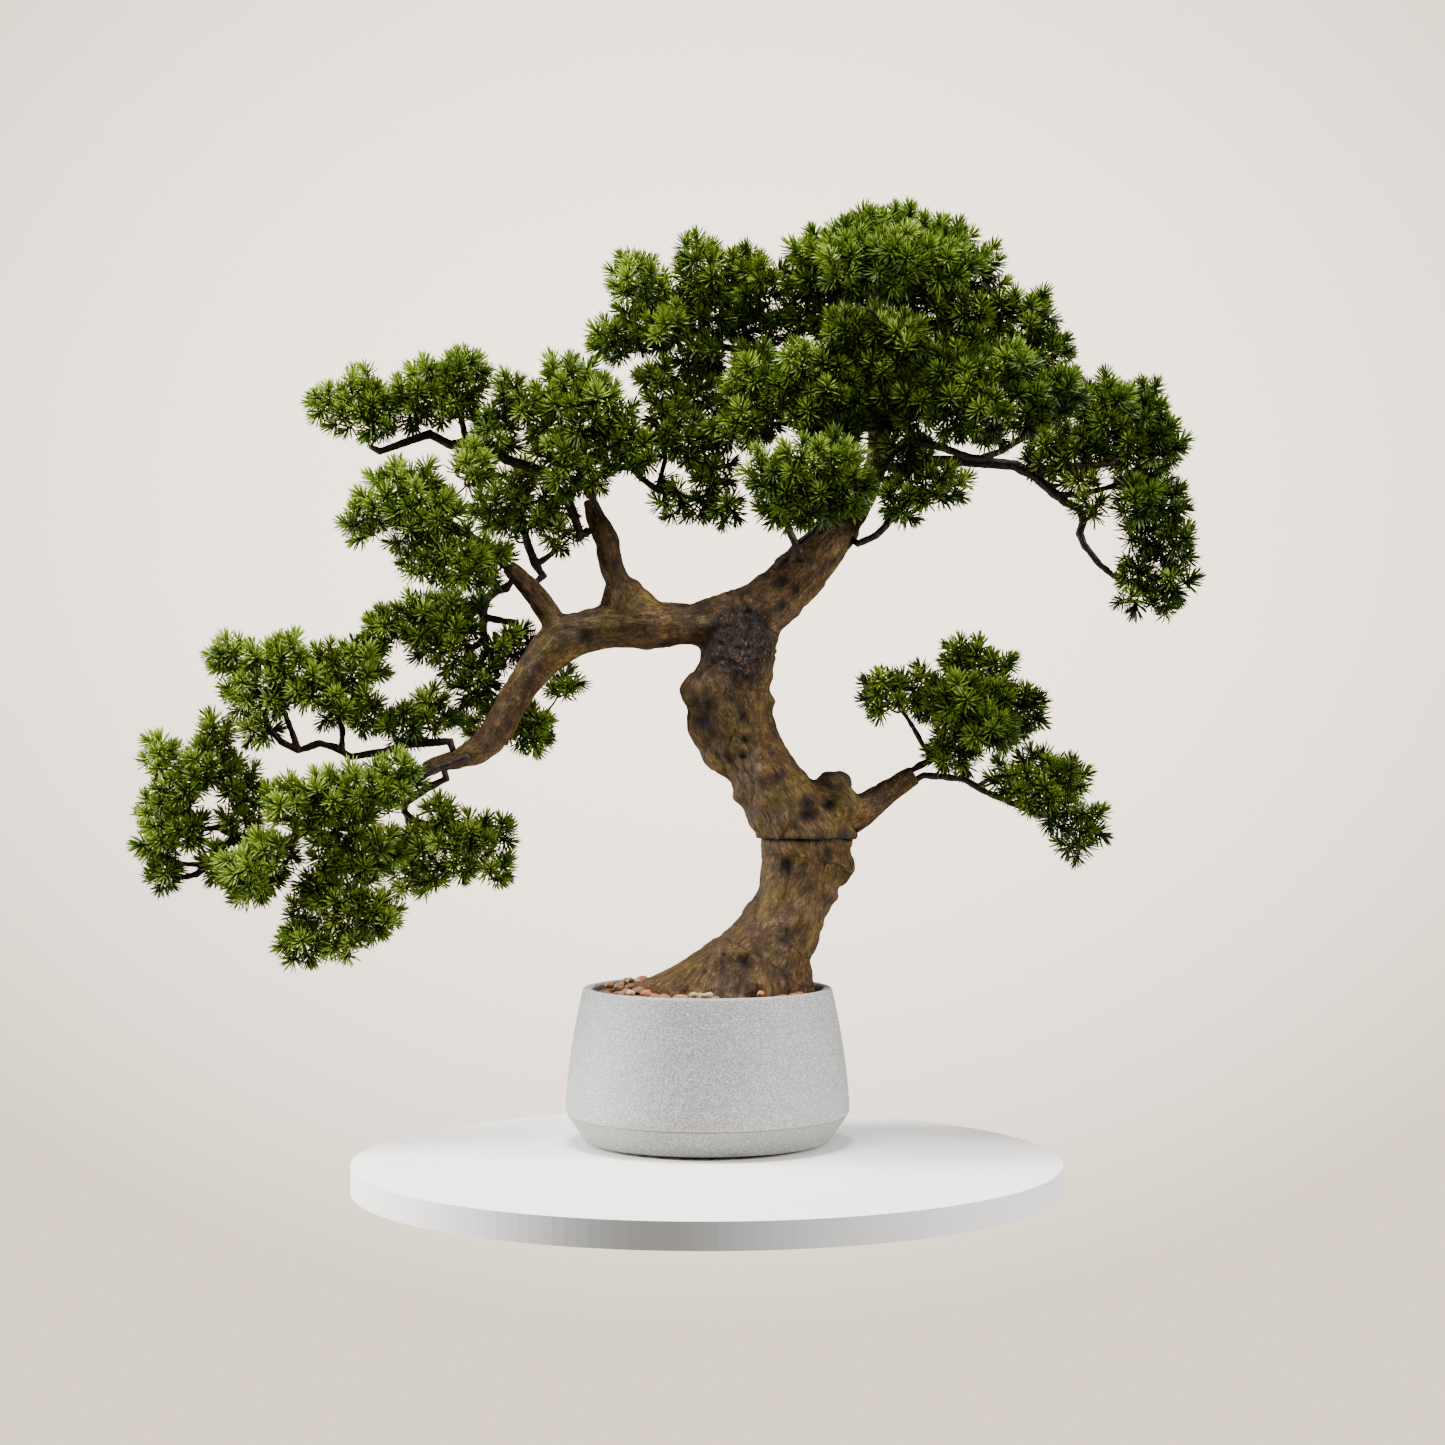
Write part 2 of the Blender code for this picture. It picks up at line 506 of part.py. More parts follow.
def trunk(name, rings, finish, group, lobes=0.0, grow=0.0):
    """A loft through level ellipses, with the roots' lobes fading out upwards."""
    shape = bmesh.new()
    last = len(rings) - 1
    loops = []
    for i, (x, z, half_width, half_depth) in enumerate(rings):
        spread = 1 + (ROOT_SPREAD - 1) * (1 - i / last) if lobes else 1
        middle = place(x * spread, 0, z)
        middle.z += grow * ((i == last) - (i == 0))
        loop = []
        for step in range(TRUNK_SIDES):
            angle = step * math.tau / TRUNK_SIDES
            swell = spread * (1 + lobes * (1 - i / last) * math.cos(ROOT_LOBES * angle))
            across = (half_width * MM * swell + grow) * math.cos(angle)
            deep = (half_depth * MM * swell + grow) * math.sin(angle)
            loop.append(shape.verts.new(middle + Vector((across, deep, 0))))
        loops.append(loop)
    for low, high in zip(loops, loops[1:]):
        for step in range(TRUNK_SIDES):
            after = (step + 1) % TRUNK_SIDES
            shape.faces.new((low[step], low[after], high[after], high[step]))
    shape.faces.new(loops[0])
    shape.faces.new(loops[-1])
    return mesh_object(name, shape, finish, group)


def tubes(name, routes, sides, finish, group, grow=0.0):
    """Round tubes along routes of (place, radius), as one curve made a mesh. With grow they are fatter and longer."""
    data = bpy.data.curves.new(name, "CURVE")
    data.dimensions = "3D"
    data.bevel_depth = 1
    data.bevel_resolution = (sides - 4) // 2
    data.use_fill_caps = True
    for line in routes:
        spline = data.splines.new("POLY")
        spline.points.add(len(line) - 1)
        for point, (at, radius) in zip(spline.points, line):
            point.co = (*at, 1)
            point.radius = radius + grow
        start, end = (line[0][0] - line[1][0]).normalized(), (line[-1][0] - line[-2][0]).normalized()
        spline.points[0].co = (*(line[0][0] + start * grow), 1)
        spline.points[-1].co = (*(line[-1][0] + end * grow), 1)
    guide = bpy.data.objects.new(name + " guide", data)
    cutters.objects.link(guide)
    made = bpy.data.meshes.new_from_object(guide.evaluated_get(bpy.context.evaluated_depsgraph_get()))
    bpy.data.objects.remove(guide)
    shape = bmesh.new()
    shape.from_mesh(made)
    bmesh.ops.remove_doubles(shape, verts=shape.verts, dist=0.00001)
    return mesh_object(name, shape, finish, group)


# ---- sockets and sprays ---------------------------------------------------------------------------------------
def seat_of(bough, share, side):
    """(place on the bough's skin, direction out) of a socket. At share 1 it is in the bough's end, off centre."""
    line = BOUGHS[bough]
    lengths = [(b[0] - a[0]).length for a, b in zip(line, line[1:])]
    left = share * sum(lengths)
    for (a, a_radius), (b, b_radius), length in zip(line, line[1:], lengths):
        if left <= length + 1e-9:
            break
        left -= length
    middle, radius = a.lerp(b, left / length), a_radius + (b_radius - a_radius) * left / length
    along = (b - a).normalized()
    across = Vector(side)
    across = (across - along * across.dot(along)).normalized()
    if share == 1:
        return b + across * b_radius / 2, along
    return middle + across * radius, across


def peg_route(seat, out):
    return [(seat - out * PEG_DEPTH, PEG_RADIUS), (seat + out * PEG_NECK, PEG_RADIUS)]


def wires_of(spray, seat, out):
    """The spray's routes, the main one started in line with the peg."""
    main, *others = spray["wires"]
    first = main[0][1]
    start = [(seat + out * PEG_NECK / 3, first * 0.75), (seat + out * (PEG_NECK + first), first)]
    return [start + main] + others


def distance_to(line, spot):
    """How far spot is from the skin of a route."""
    found = math.inf
    for (a, a_radius), (b, b_radius) in zip(line, line[1:]):
        near, share = geometry.intersect_point_line(spot, a, b)
        share = min(max(share, 0), 1)
        found = min(found, (spot - a.lerp(b, share)).length - a_radius - (b_radius - a_radius) * share)
    return found


def clear_radius(spot, wanted, name, done):
    """The largest radius up to wanted at which a clump keeps clear of the wood and of every other spray."""
    radius = wanted
    for line in BOUGHS.values():
        radius = min(radius, distance_to(line, spot) - WOOD_GAP)
    for other, lines in wires.items():
        if other != name:
            radius = min([radius] + [distance_to(line, spot) - WOOD_GAP for line in lines])
    for other, clumps in done.items():
        for middle, size in clumps:
            radius = min(radius, (spot - middle).length - size - SWAY_GAP)
    return radius


def links_between(clumps, name, done):
    """The shortest tree of links that joins a spray's clumps, kept clear of the other sprays where it can be.

    Clumps that already run well into each other get no link.
    """

    def cost(a, b):
        steps = [a.lerp(b, share / 4) for share in range(5)]
        tight = min(clear_radius(step, LINK_RADIUS, name, done) for step in steps)
        return (a - b).length * (1 if tight >= LINK_RADIUS else 20)

    joined, waiting, links = [0], list(range(1, len(clumps))), []
    while waiting:
        pairs = ((cost(clumps[i][0], clumps[j][0]), i, j) for i in joined for j in waiting)
        _, i, j = min(pairs)
        joined.append(j)
        waiting.remove(j)
        if (clumps[i][0] - clumps[j][0]).length > MERGED_SHARE * (clumps[i][1] + clumps[j][1]):
            links.append((clumps[i][0], clumps[j][0]))
    return links


def needles(name, clumps, links, finish):
    """The space that a spray's needles fill: a ball for each clump, and the links between them."""
    shape = bmesh.new()
    turn = random.Random(name)
    for middle, radius in clumps:
        facing = Matrix.Rotation(turn.uniform(0, math.tau), 4, Vector([turn.uniform(-1, 1) for _ in range(3)]))
        bmesh.ops.create_icosphere(
            shape, subdivisions=1, radius=radius, matrix=Matrix.Translation(middle) @ facing
        )
    for a, b in links:
        facing = (b - a).to_track_quat("Z", "Y").to_matrix().to_4x4()
        bmesh.ops.create_cone(
            shape, cap_ends=True, segments=LINK_SIDES, radius1=LINK_RADIUS, radius2=LINK_RADIUS,
            depth=(b - a).length, matrix=Matrix.Translation((a + b) / 2) @ facing,
        )
    return mesh_object(name, shape, finish, parts)


def hang_on(empty, obj):
    obj.parent = empty
    obj.matrix_parent_inverse = empty.matrix_world.inverted()


# ---- the pot and what is in it --------------------------------------------------------------------------------
def outer_radius(height):
    if height >= BELLY_HEIGHT:
        up = (height - BELLY_HEIGHT) / (POT_HEIGHT - BELLY_HEIGHT)
        return RIM_RADIUS + (BELLY_RADIUS - RIM_RADIUS) * (1 - up**SIDE_FULLNESS)
    chamfer = BELLY_HEIGHT - BELLY_EDGE
    if height >= chamfer:
        return BELLY_RADIUS - BELLY_STEP * (BELLY_HEIGHT - height) / BELLY_EDGE
    return FOOT_RADIUS + (BELLY_RADIUS - BELLY_STEP - FOOT_RADIUS) * height / chamfer


def heights(low, high, count):
    return [low + (high - low) * i / (count - 1) for i in range(count)]


def filling(name, inside, low, high, finish):
    """A poured or packed layer that fits the pot's inside, which is given from its floor up."""

    def wall(height):
        for (lower_radius, below), (upper_radius, above) in zip(inside, inside[1:]):
            if height <= above:
                break
        return lower_radius + (upper_radius - lower_radius) * (height - below) / (above - below)

    levels = [high] + [z for _, z in reversed(inside) if low < z < high] + [low]
    skin = [(wall(z) - TOUCH_GAP, z) for z in levels]
    return turned(name, [(0, high)] + skin + [(0, low)], finish)


def make_pot():
    foot = PAD_THICKNESS + TOUCH_GAP
    inner_floor = foot + POT_FLOOR
    inside = [(outer_radius(z) - POT_WALL, z) for z in heights(inner_floor, POT_HEIGHT - LIP_ROUND, 7)]
    lip = [(RIM_RADIUS - POT_WALL + LIP_ROUND, POT_HEIGHT), (RIM_RADIUS - LIP_ROUND, POT_HEIGHT)]
    outside = [(outer_radius(z), z) for z in heights(POT_HEIGHT - LIP_ROUND, BELLY_HEIGHT, 6)]
    under = [(outer_radius(z), z) for z in (BELLY_HEIGHT - BELLY_EDGE, foot)]
    turned("pot", [(0, inner_floor)] + inside + lip + outside + under + [(0, foot)], cement)
    pad_radius = FOOT_RADIUS - PAD_INSET
    turned("felt_base_pad", [(0, PAD_THICKNESS), (pad_radius, PAD_THICKNESS), (pad_radius, 0), (0, 0)], felt)

    ballast_top = inner_floor + TOUCH_GAP + BALLAST_DEPTH
    ballast = filling("ballast_core", inside, inner_floor + TOUCH_GAP, ballast_top, mortar)
    foam = filling("foam_filler", inside, ballast_top + TOUCH_GAP, ROOT_PLANE - TOUCH_GAP, foam_finish)
    gravel = filling("gravel_bed", inside, ROOT_PLANE, ROOT_PLANE + PEBBLE_DEPTH, pebbles)
    return ballast, foam, gravel


def make_wood():
    """The trunk and boughs, each cut to the piece that it grows from, by name."""
    wood = {
        "trunk_lower": trunk("trunk_lower", LOWER_TRUNK_RINGS, bark, parts, ROOT_LOBE_DEPTH),
        "trunk_upper": trunk("trunk_upper", UPPER_TRUNK_RINGS, bark, parts),
        "fork_joint": trunk("fork_joint", FORK_RINGS, putty, parts),
    }
    shape = bmesh.new()
    x, y, z, radius = BURL
    bmesh.ops.create_icosphere(
        shape, subdivisions=2, radius=radius * MM, matrix=Matrix.Translation(place(x, y, z))
    )
    boolean(wood["trunk_upper"], mesh_object("burl", shape, bark, cutters), "UNION")
    shape = bmesh.new()
    bmesh.ops.create_icosphere(
        shape, subdivisions=2, radius=radius * MM + TOUCH_GAP, matrix=Matrix.Translation(place(x, y, z))
    )
    burl_room = mesh_object("burl room", shape, None, cutters)
    boolean(wood["fork_joint"], tubes("fork arms", [BOUGHS["fork_arms"]], 12, putty, cutters), "UNION")
    for name in GROWS_FROM:
        wood[name] = tubes(name, [BOUGHS[name]], BOUGH_SIDES, bark, parts)

    # The room that each piece takes from the one growing out of it is its own shape, grown by the touching gap.
    room = {
        "trunk_lower": [trunk("lower trunk room", LOWER_TRUNK_RINGS, None, cutters, ROOT_LOBE_DEPTH, TOUCH_GAP)],
        "trunk_upper": [
            trunk("upper trunk room", UPPER_TRUNK_RINGS, None, cutters, grow=TOUCH_GAP),
            burl_room,
        ],
        "fork_joint": [
            trunk("fork room", FORK_RINGS, None, cutters, grow=TOUCH_GAP),
            tubes("fork arms room", [BOUGHS["fork_arms"]], 12, None, cutters, TOUCH_GAP),
        ],
    }
    for name in ("right_bough", "left_bough"):
        room[name] = [tubes(name + " room", [BOUGHS[name]], BOUGH_SIDES, None, cutters, TOUCH_GAP)]
    for name, hosts in GROWS_FROM.items():
        for host in hosts:
            for cutter in room[host]:
                boolean(wood[name], cutter, "DIFFERENCE")
    return wood


def add_rods(wood, ballast, foam):
    rod_foot = PAD_THICKNESS + TOUCH_GAP + POT_FLOOR + TOUCH_GAP + ROD_STAND
    rod_top = ROOT_PLANE + ROD_REACH
    upright_cylinder("armature_rod", ROD_PLACE, ROD_RADIUS, rod_foot, rod_top, steel, parts)
    bore = upright_cylinder(
        "rod bore", ROD_PLACE, ROD_RADIUS + BORE_CLEARANCE, rod_foot - BORE_CLEARANCE, rod_top + BORE_CLEARANCE,
        None, cutters,
    )
    for obj in (ballast, foam, wood["trunk_lower"], wood["trunk_upper"]):
        boolean(obj, bore, "DIFFERENCE")
    x, split = FORK_RINGS[0][0] * MM, place(0, 0, FORK_RINGS[0][1]).z
    low, high = split - DOWEL_LENGTH / 2, split + DOWEL_LENGTH / 2
    upright_cylinder("fork_dowel", x, DOWEL_RADIUS, low, high, dowel_finish, parts)
    bore = upright_cylinder(
        "dowel bore", x, DOWEL_RADIUS + BORE_CLEARANCE, low - BORE_CLEARANCE, high + BORE_CLEARANCE, None, cutters
    )
    for name in ("trunk_upper", "fork_joint"):
        boolean(wood[name], bore, "DIFFERENCE")


clear_scene()
parts = collection("tabletop_tree")
cutters = collection("cutters")
cement = material("cement", (0.42, 0.42, 0.40), 0.75)
felt = material("felt", (0.05, 0.05, 0.05), 0.95)
mortar = material("mortar", (0.35, 0.34, 0.32), 0.9)
foam_finish = material("floral foam", (0.10, 0.16, 0.07), 0.95)
pebbles = material("pebbles", (0.38, 0.27, 0.17), 0.7)
bark = material("bark", (0.09, 0.06, 0.04), 0.75)
putty = material("putty", (0.05, 0.035, 0.025), 0.85)
steel = material("steel", (0.5, 0.5, 0.5), 0.35, 1.0)
dowel_finish = material("beech", (0.55, 0.40, 0.24), 0.6)
stem_finish = material("stem wrap", (0.07, 0.045, 0.035), 0.5)
needle_finish = material("needles", (0.09, 0.11, 0.02), 0.55)

ballast_core, foam_filler, gravel_bed = make_pot()
wood_pieces = make_wood()
add_rods(wood_pieces, ballast_core, foam_filler)
root_room = trunk("root room", LOWER_TRUNK_RINGS, None, cutters, ROOT_LOBE_DEPTH, ROOT_GAP)
boolean(gravel_bed, root_room, "DIFFERENCE")

seats = {name: seat_of(*spray["seat"]) for name, spray in SPRAYS.items()}
wires = {name: wires_of(spray, *seats[name]) for name, spray in SPRAYS.items()}
placed = {}
for name, spray in SPRAYS.items():
    clumps = []
    for x, y, z, radius in spray["clumps"]:
        radius = clear_radius(place(x, y, z), radius * MM, name, placed)
        if radius >= LEAST_CLUMP:
            clumps.append((place(x, y, z), radius))
    links = links_between(clumps, name, placed)
    placed[name] = clumps

    seat, out = seats[name]
    stem = tubes(name + "_stem", wires[name], STEM_SIDES, stem_finish, parts)
    peg = tubes(name + " peg", [peg_route(seat, out)], STEM_SIDES + 2, stem_finish, cutters)
    boolean(stem, peg, "UNION")
    foliage = needles(name + "_needles", clumps, links, needle_finish)
    room = [
        [(at, radius / math.cos(math.pi / ROOM_SIDES)) for at, radius in line]
        for line in wires[name] + [peg_route(seat, out)]
    ]
    stem_room = tubes(name + " stem room", room, ROOM_SIDES, None, cutters, TOUCH_GAP)
    boolean(foliage, stem_room, "DIFFERENCE")
    swivel = bpy.data.objects.new(name + "_swivel", None)
    parts.objects.link(swivel)
    swivel.matrix_world = Matrix.Translation(seat) @ out.to_track_quat("Z", "Y").to_matrix().to_4x4()
    hang_on(swivel, stem)
    hang_on(swivel, foliage)

for bough in GROWS_FROM:
    pegs = [peg_route(*seats[name]) for name, spray in SPRAYS.items() if spray["seat"][0] == bough]
    if pegs:
        sockets = tubes(bough + " sockets", pegs, STEM_SIDES + 2, None, cutters, SOCKET_CLEARANCE)
        boolean(wood_pieces[bough], sockets, "DIFFERENCE")
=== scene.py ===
"""Artificial tabletop tree: a windswept pine with a built-up wooden trunk, wired sprays of moulded needles, and a
round cement pot with pebbles. The tree is modelled in the order in which it is put together."""

import json
import math
import random

import bpy
import numpy as np
from mathutils import Matrix, Vector, noise
from mathutils.bvhtree import BVHTree

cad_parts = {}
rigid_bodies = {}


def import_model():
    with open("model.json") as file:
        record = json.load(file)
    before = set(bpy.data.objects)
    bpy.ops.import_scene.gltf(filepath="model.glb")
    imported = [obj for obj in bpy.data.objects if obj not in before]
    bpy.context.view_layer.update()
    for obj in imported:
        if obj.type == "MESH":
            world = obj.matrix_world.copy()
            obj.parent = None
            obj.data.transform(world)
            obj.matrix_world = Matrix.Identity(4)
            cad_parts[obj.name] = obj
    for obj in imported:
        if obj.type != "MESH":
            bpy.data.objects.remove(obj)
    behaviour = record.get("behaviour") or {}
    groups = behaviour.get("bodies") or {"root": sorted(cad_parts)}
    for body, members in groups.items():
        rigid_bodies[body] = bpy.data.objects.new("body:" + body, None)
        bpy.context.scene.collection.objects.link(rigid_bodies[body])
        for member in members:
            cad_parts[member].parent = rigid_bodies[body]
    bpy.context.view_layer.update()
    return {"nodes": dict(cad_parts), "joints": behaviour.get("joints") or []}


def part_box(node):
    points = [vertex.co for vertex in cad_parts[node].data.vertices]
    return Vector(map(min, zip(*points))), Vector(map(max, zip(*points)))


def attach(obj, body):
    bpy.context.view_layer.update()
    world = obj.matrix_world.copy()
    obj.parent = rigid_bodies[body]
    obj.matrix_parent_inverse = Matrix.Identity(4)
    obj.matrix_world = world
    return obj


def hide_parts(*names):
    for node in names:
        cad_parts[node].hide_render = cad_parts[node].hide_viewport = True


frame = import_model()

# ---- The camera ----------------------------------------------------------------------------------------------
# It looks level at the front of the tree, from across a room, at about the height of the crotch of the trunk.

bpy.ops.object.camera_add(location=(0.012, -2.24, 0.3354), rotation=(math.radians(90), 0, 0))
bpy.context.object.data.lens = 69.8
bpy.context.object.data.sensor_width = 36
bpy.context.scene.camera = bpy.context.object


# ---- The pot -------------------------------------------------------------------------------------------------
# Cast cement with sand in it, turned round in its mould: a full side from a thin lip down to a crisp belly edge, a
# hairline where the two halves of the mould met, and a straight chamfer to the foot. It stands on its felt pad.

class Flow:
    """One value on its way through a material's nodes, with arithmetic."""

    def __init__(self, tree, socket=None):
        self.tree = tree
        self.socket = socket

    def node(self, kind, settings=(), sockets=(), out=0):
        """A node of this kind, its settings made first, then its sockets filled with values or other flows."""
        made = self.tree.nodes.new(kind)
        for name, value in dict(settings).items():
            if name == "stops":
                for place, colour in value[:-2]:
                    made.color_ramp.elements.new(place)
                for element, (place, colour) in zip(made.color_ramp.elements, value):
                    element.position = place
                    element.color = (*colour, 1)
            else:
                setattr(made, name, value)
        for name, value in dict(sockets).items():
            if isinstance(value, Flow):
                self.tree.links.new(value.socket, made.inputs[name])
            else:
                made.inputs[name].default_value = value
        return Flow(self.tree, made.outputs[out])

    def maths(self, operation, *values):
        return self.node("ShaderNodeMath", {"operation": operation}, enumerate(values))

    def __add__(self, other):
        return self.maths("ADD", self, other)

    def __sub__(self, other):
        return self.maths("SUBTRACT", self, other)

    def __rsub__(self, other):
        return self.maths("SUBTRACT", other, self)

    def __mul__(self, other):
        return self.maths("MULTIPLY", self, other)

    def __abs__(self):
        return self.maths("ABSOLUTE", self)

    __radd__ = __add__
    __rmul__ = __mul__

    def held(self, low, high):
        """0 at low and below, 1 at high and above, in a straight line between."""
        return self.node(
            "ShaderNodeMapRange", {"clamp": True}, {"Value": self, "From Min": low, "From Max": high}
        )

    def tint(self, first, second):
        """The first colour where this is 0, the second where it is 1."""
        colours = [c if isinstance(c, Flow) else (*c, 1) for c in (first, second)]
        return self.node(
            "ShaderNodeMix", {"data_type": "RGBA"}, {"Factor": self, 6: colours[0], 7: colours[1]}, 2
        )

    def ramp(self, *stops):
        return self.node("ShaderNodeValToRGB", {"stops": stops}, {"Fac": self})

    def grain(self, scale, detail=2, roughness=0.5, stretch=(1, 1, 1), offset=0.0):
        """Cloudy noise at this many lumps a metre, drawn out along an axis by its stretch."""
        laid = self.node(
            "ShaderNodeMapping", (), {"Vector": self, "Scale": stretch, "Location": (offset, offset, offset)}
        )
        return self.node(
            "ShaderNodeTexNoise", (),
            {"Vector": laid, "Scale": scale, "Detail": detail, "Roughness": roughness},
        )

    def axis(self, number):
        """The x, y or z of this place, for 0, 1 or 2."""
        return self.node("ShaderNodeSeparateXYZ", (), {"Vector": self}, number)

    def bumped(self, depth):
        """A bump on the surface, of this depth in metres."""
        return self.node("ShaderNodeBump", (), {"Height": self, "Distance": depth, "Strength": 1.0})


def new_finish(name, **constants):
    """A material with these plain values, and a function that links flows to its shader."""
    finish = bpy.data.materials.new(name)
    finish.use_nodes = True
    tree = finish.node_tree
    shader = tree.nodes["Principled BSDF"]
    for socket, value in constants.items():
        shader.inputs[socket.replace("_", " ")].default_value = value

    def wear(**flows):
        for socket, flow in flows.items():
            tree.links.new(flow.socket, shader.inputs[socket.replace("_", " ")])

    place = Flow(tree).node("ShaderNodeTexCoord", out=3)
    return finish, place, wear


def attribute_of(place, name, out=2):
    """A value that the mesh carries: its number with out=2, its vector with out=1."""
    return place.node("ShaderNodeAttribute", {"attribute_name": name}, out=out)


def dress(piece, finish):
    piece.data.materials.clear()
    piece.data.materials.append(finish)


def paint_node(name, finish):
    for slot in frame["nodes"][name].material_slots:
        slot.material = finish


def deselect():
    bpy.ops.object.select_all(action="DESELECT")


def edit(piece):
    deselect()
    piece.select_set(True)
    bpy.context.view_layer.objects.active = piece
    bpy.ops.object.mode_set(mode="EDIT")


def leave():
    bpy.ops.object.mode_set(mode="OBJECT")


def finish_place(piece):
    """Leaves the piece's place in its mesh, and its object at the origin."""
    deselect()
    piece.select_set(True)
    bpy.context.view_layer.objects.active = piece
    bpy.ops.object.transform_apply(location=True, rotation=True, scale=True)


pot_low, pot_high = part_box("pot")
foot_radius, belly_radius, rim_radius, pot_wall = 0.0985, 0.1133, 0.100, 0.008
pot_bottom, pot_top = pot_low.z, pot_high.z
belly_height, seam_height, pot_floor = 0.0265, 0.0238, pot_bottom + 0.009
side = []
for step in range(1, 19):
    share = step / 18
    side.append((
        belly_radius - (belly_radius - rim_radius) * share**1.6,
        belly_height + (pot_top - 0.003 - belly_height) * share,
    ))
profile = [
    (foot_radius - 0.0008, pot_bottom), (foot_radius, pot_bottom + 0.0008),
    (belly_radius - 0.0016, seam_height - 0.0008), (belly_radius - 0.0020, seam_height - 0.0004),
    (belly_radius - 0.0020, seam_height), (belly_radius - 0.0012, seam_height + 0.0004),
    (belly_radius - 0.0003, belly_height - 0.0008), (belly_radius, belly_height),
    *side,
    (rim_radius - 0.0004, pot_top - 0.0014), (rim_radius - 0.0014, pot_top - 0.0003),
    (rim_radius - 0.0026, pot_top), (rim_radius - pot_wall + 0.0026, pot_top),
    (rim_radius - pot_wall + 0.001, pot_top - 0.0004), (rim_radius - pot_wall + 0.0002, pot_top - 0.0016),
    (rim_radius - pot_wall, pot_top - 0.004), (rim_radius - pot_wall + 0.006, pot_top - 0.045),
    (belly_radius - pot_wall - 0.002, belly_height), (foot_radius - pot_wall, pot_floor),
]
deselect()
bpy.ops.mesh.primitive_circle_add(vertices=160, radius=profile[0][0], location=(0, 0, profile[0][1]))
pot = bpy.context.object
pot.name = pot.data.name = "cement_pot"
edit(pot)
for (radius, height), (next_radius, next_height) in zip(profile, profile[1:]):
    bpy.ops.mesh.extrude_edges_move(TRANSFORM_OT_translate={"value": (0, 0, next_height - height)})
    grow = next_radius / radius
    bpy.ops.transform.resize(value=(grow, grow, 1), center_override=(0, 0, 0))
bpy.ops.mesh.select_all(action="SELECT")
bpy.ops.mesh.fill_holes(sides=0)
bpy.ops.mesh.normals_make_consistent(inside=False)
leave()
finish_place(pot)
bpy.ops.object.shade_smooth_by_angle(angle=math.radians(28))

cement, place, wear = new_finish("sandy_cement")
sand = place.grain(620, 3, 0.6)
clouds = place.grain(14, 3, 0.55)
specks = place.grain(900, 1, 0.4, offset=3.0)
height = place.axis(2)
seam = 1 - abs(height - (seam_height - 0.0001)).held(0.0003, 0.0009)
foot_line = 1 - height.held(pot_bottom + 0.0003, pot_bottom + 0.0016)
sandy = sand.ramp(
    (0.30, (0.140, 0.142, 0.139)), (0.47, (0.235, 0.238, 0.234)), (0.56, (0.275, 0.278, 0.273)),
    (0.72, (0.470, 0.475, 0.470)),
)
sandy = (specks.held(0.58, 0.68) * 0.70).tint(sandy, (0.66, 0.67, 0.66))
sandy = (clouds.held(0.35, 0.75) * 0.20).tint(sandy, (0.34, 0.344, 0.34))
# A painted shade darkens the chamfer under the seam.
chamfer_painted_shade = 1 - height.held(seam_height - 0.0012, seam_height - 0.0004)
sandy = (chamfer_painted_shade * 0.30).tint(sandy, (0.095, 0.095, 0.090))
sandy = (seam * 0.75).tint(sandy, (0.26, 0.20, 0.12))
sandy = (foot_line * 0.6).tint(sandy, (0.16, 0.13, 0.09))
wear(
    Base_Color=sandy,
    Roughness=0.48 + 0.3 * sand.held(0.35, 0.65),
    Normal=(sand + 0.6 * specks).bumped(0.0007),
)
dress(pot, cement)
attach(pot, "pot_and_wood")
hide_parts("pot")

# ---- The pad, the ballast, the foam and the rods ---------------------------------------------------------------
# A felt pad is glued under the foot. Inside, cement weighs the pot down, and rigid foam on it holds the roots. A
# steel rod in the cement runs up the trunk, and a wooden dowel joins the trunk to the crotch.

felt, place, wear = new_finish("pad_felt")
fibres = place.grain(900, 4, 0.7)
wear(Base_Color=fibres.ramp((0.3, (0.012, 0.011, 0.010)), (0.7, (0.050, 0.046, 0.042))),
     Roughness=0.85 + 0.15 * fibres, Normal=fibres.bumped(0.0005))
paint_node("felt_base_pad", felt)

ballast, place, wear = new_finish("poured_cement")
lumps = place.grain(160, 5, 0.6)
wear(Base_Color=lumps.ramp((0.3, (0.13, 0.125, 0.12)), (0.7, (0.27, 0.26, 0.25))),
     Roughness=0.7 + 0.25 * lumps, Normal=lumps.bumped(0.002))
paint_node("ballast_core", ballast)

foam, place, wear = new_finish("green_foam")
cells = place.grain(1200, 2, 0.6)
wear(Base_Color=cells.ramp((0.3, (0.05, 0.10, 0.04)), (0.7, (0.11, 0.20, 0.09))),
     Roughness=0.8 + 0.2 * cells, Normal=cells.bumped(0.0006))
paint_node("foam_filler", foam)

steel, place, wear = new_finish("bright_steel", Metallic=1.0)
drawn = place.grain(700, 2, 0.5, stretch=(1, 1, 0.02))
wear(Base_Color=drawn.ramp((0.3, (0.40, 0.40, 0.41)), (0.7, (0.56, 0.56, 0.57))), Roughness=0.25 + 0.2 * drawn)
paint_node("armature_rod", steel)

birch, place, wear = new_finish("birch_dowel")
figure = place.grain(400, 3, 0.6, stretch=(1, 1, 0.08))
wear(Base_Color=figure.ramp((0.3, (0.42, 0.28, 0.15)), (0.7, (0.60, 0.44, 0.27))),
     Roughness=0.5 + 0.2 * figure, Normal=figure.bumped(0.0003))
paint_node("fork_dowel", birch)

# ---- The wood --------------------------------------------------------------------------------------------------
# Real driftwood pieces, pegged and glued: a root flare, a trunk on top of it with an open seam between them, and
# boughs. The crotch is filled and blackened with textured putty. The low right stub ends in a pale cut.


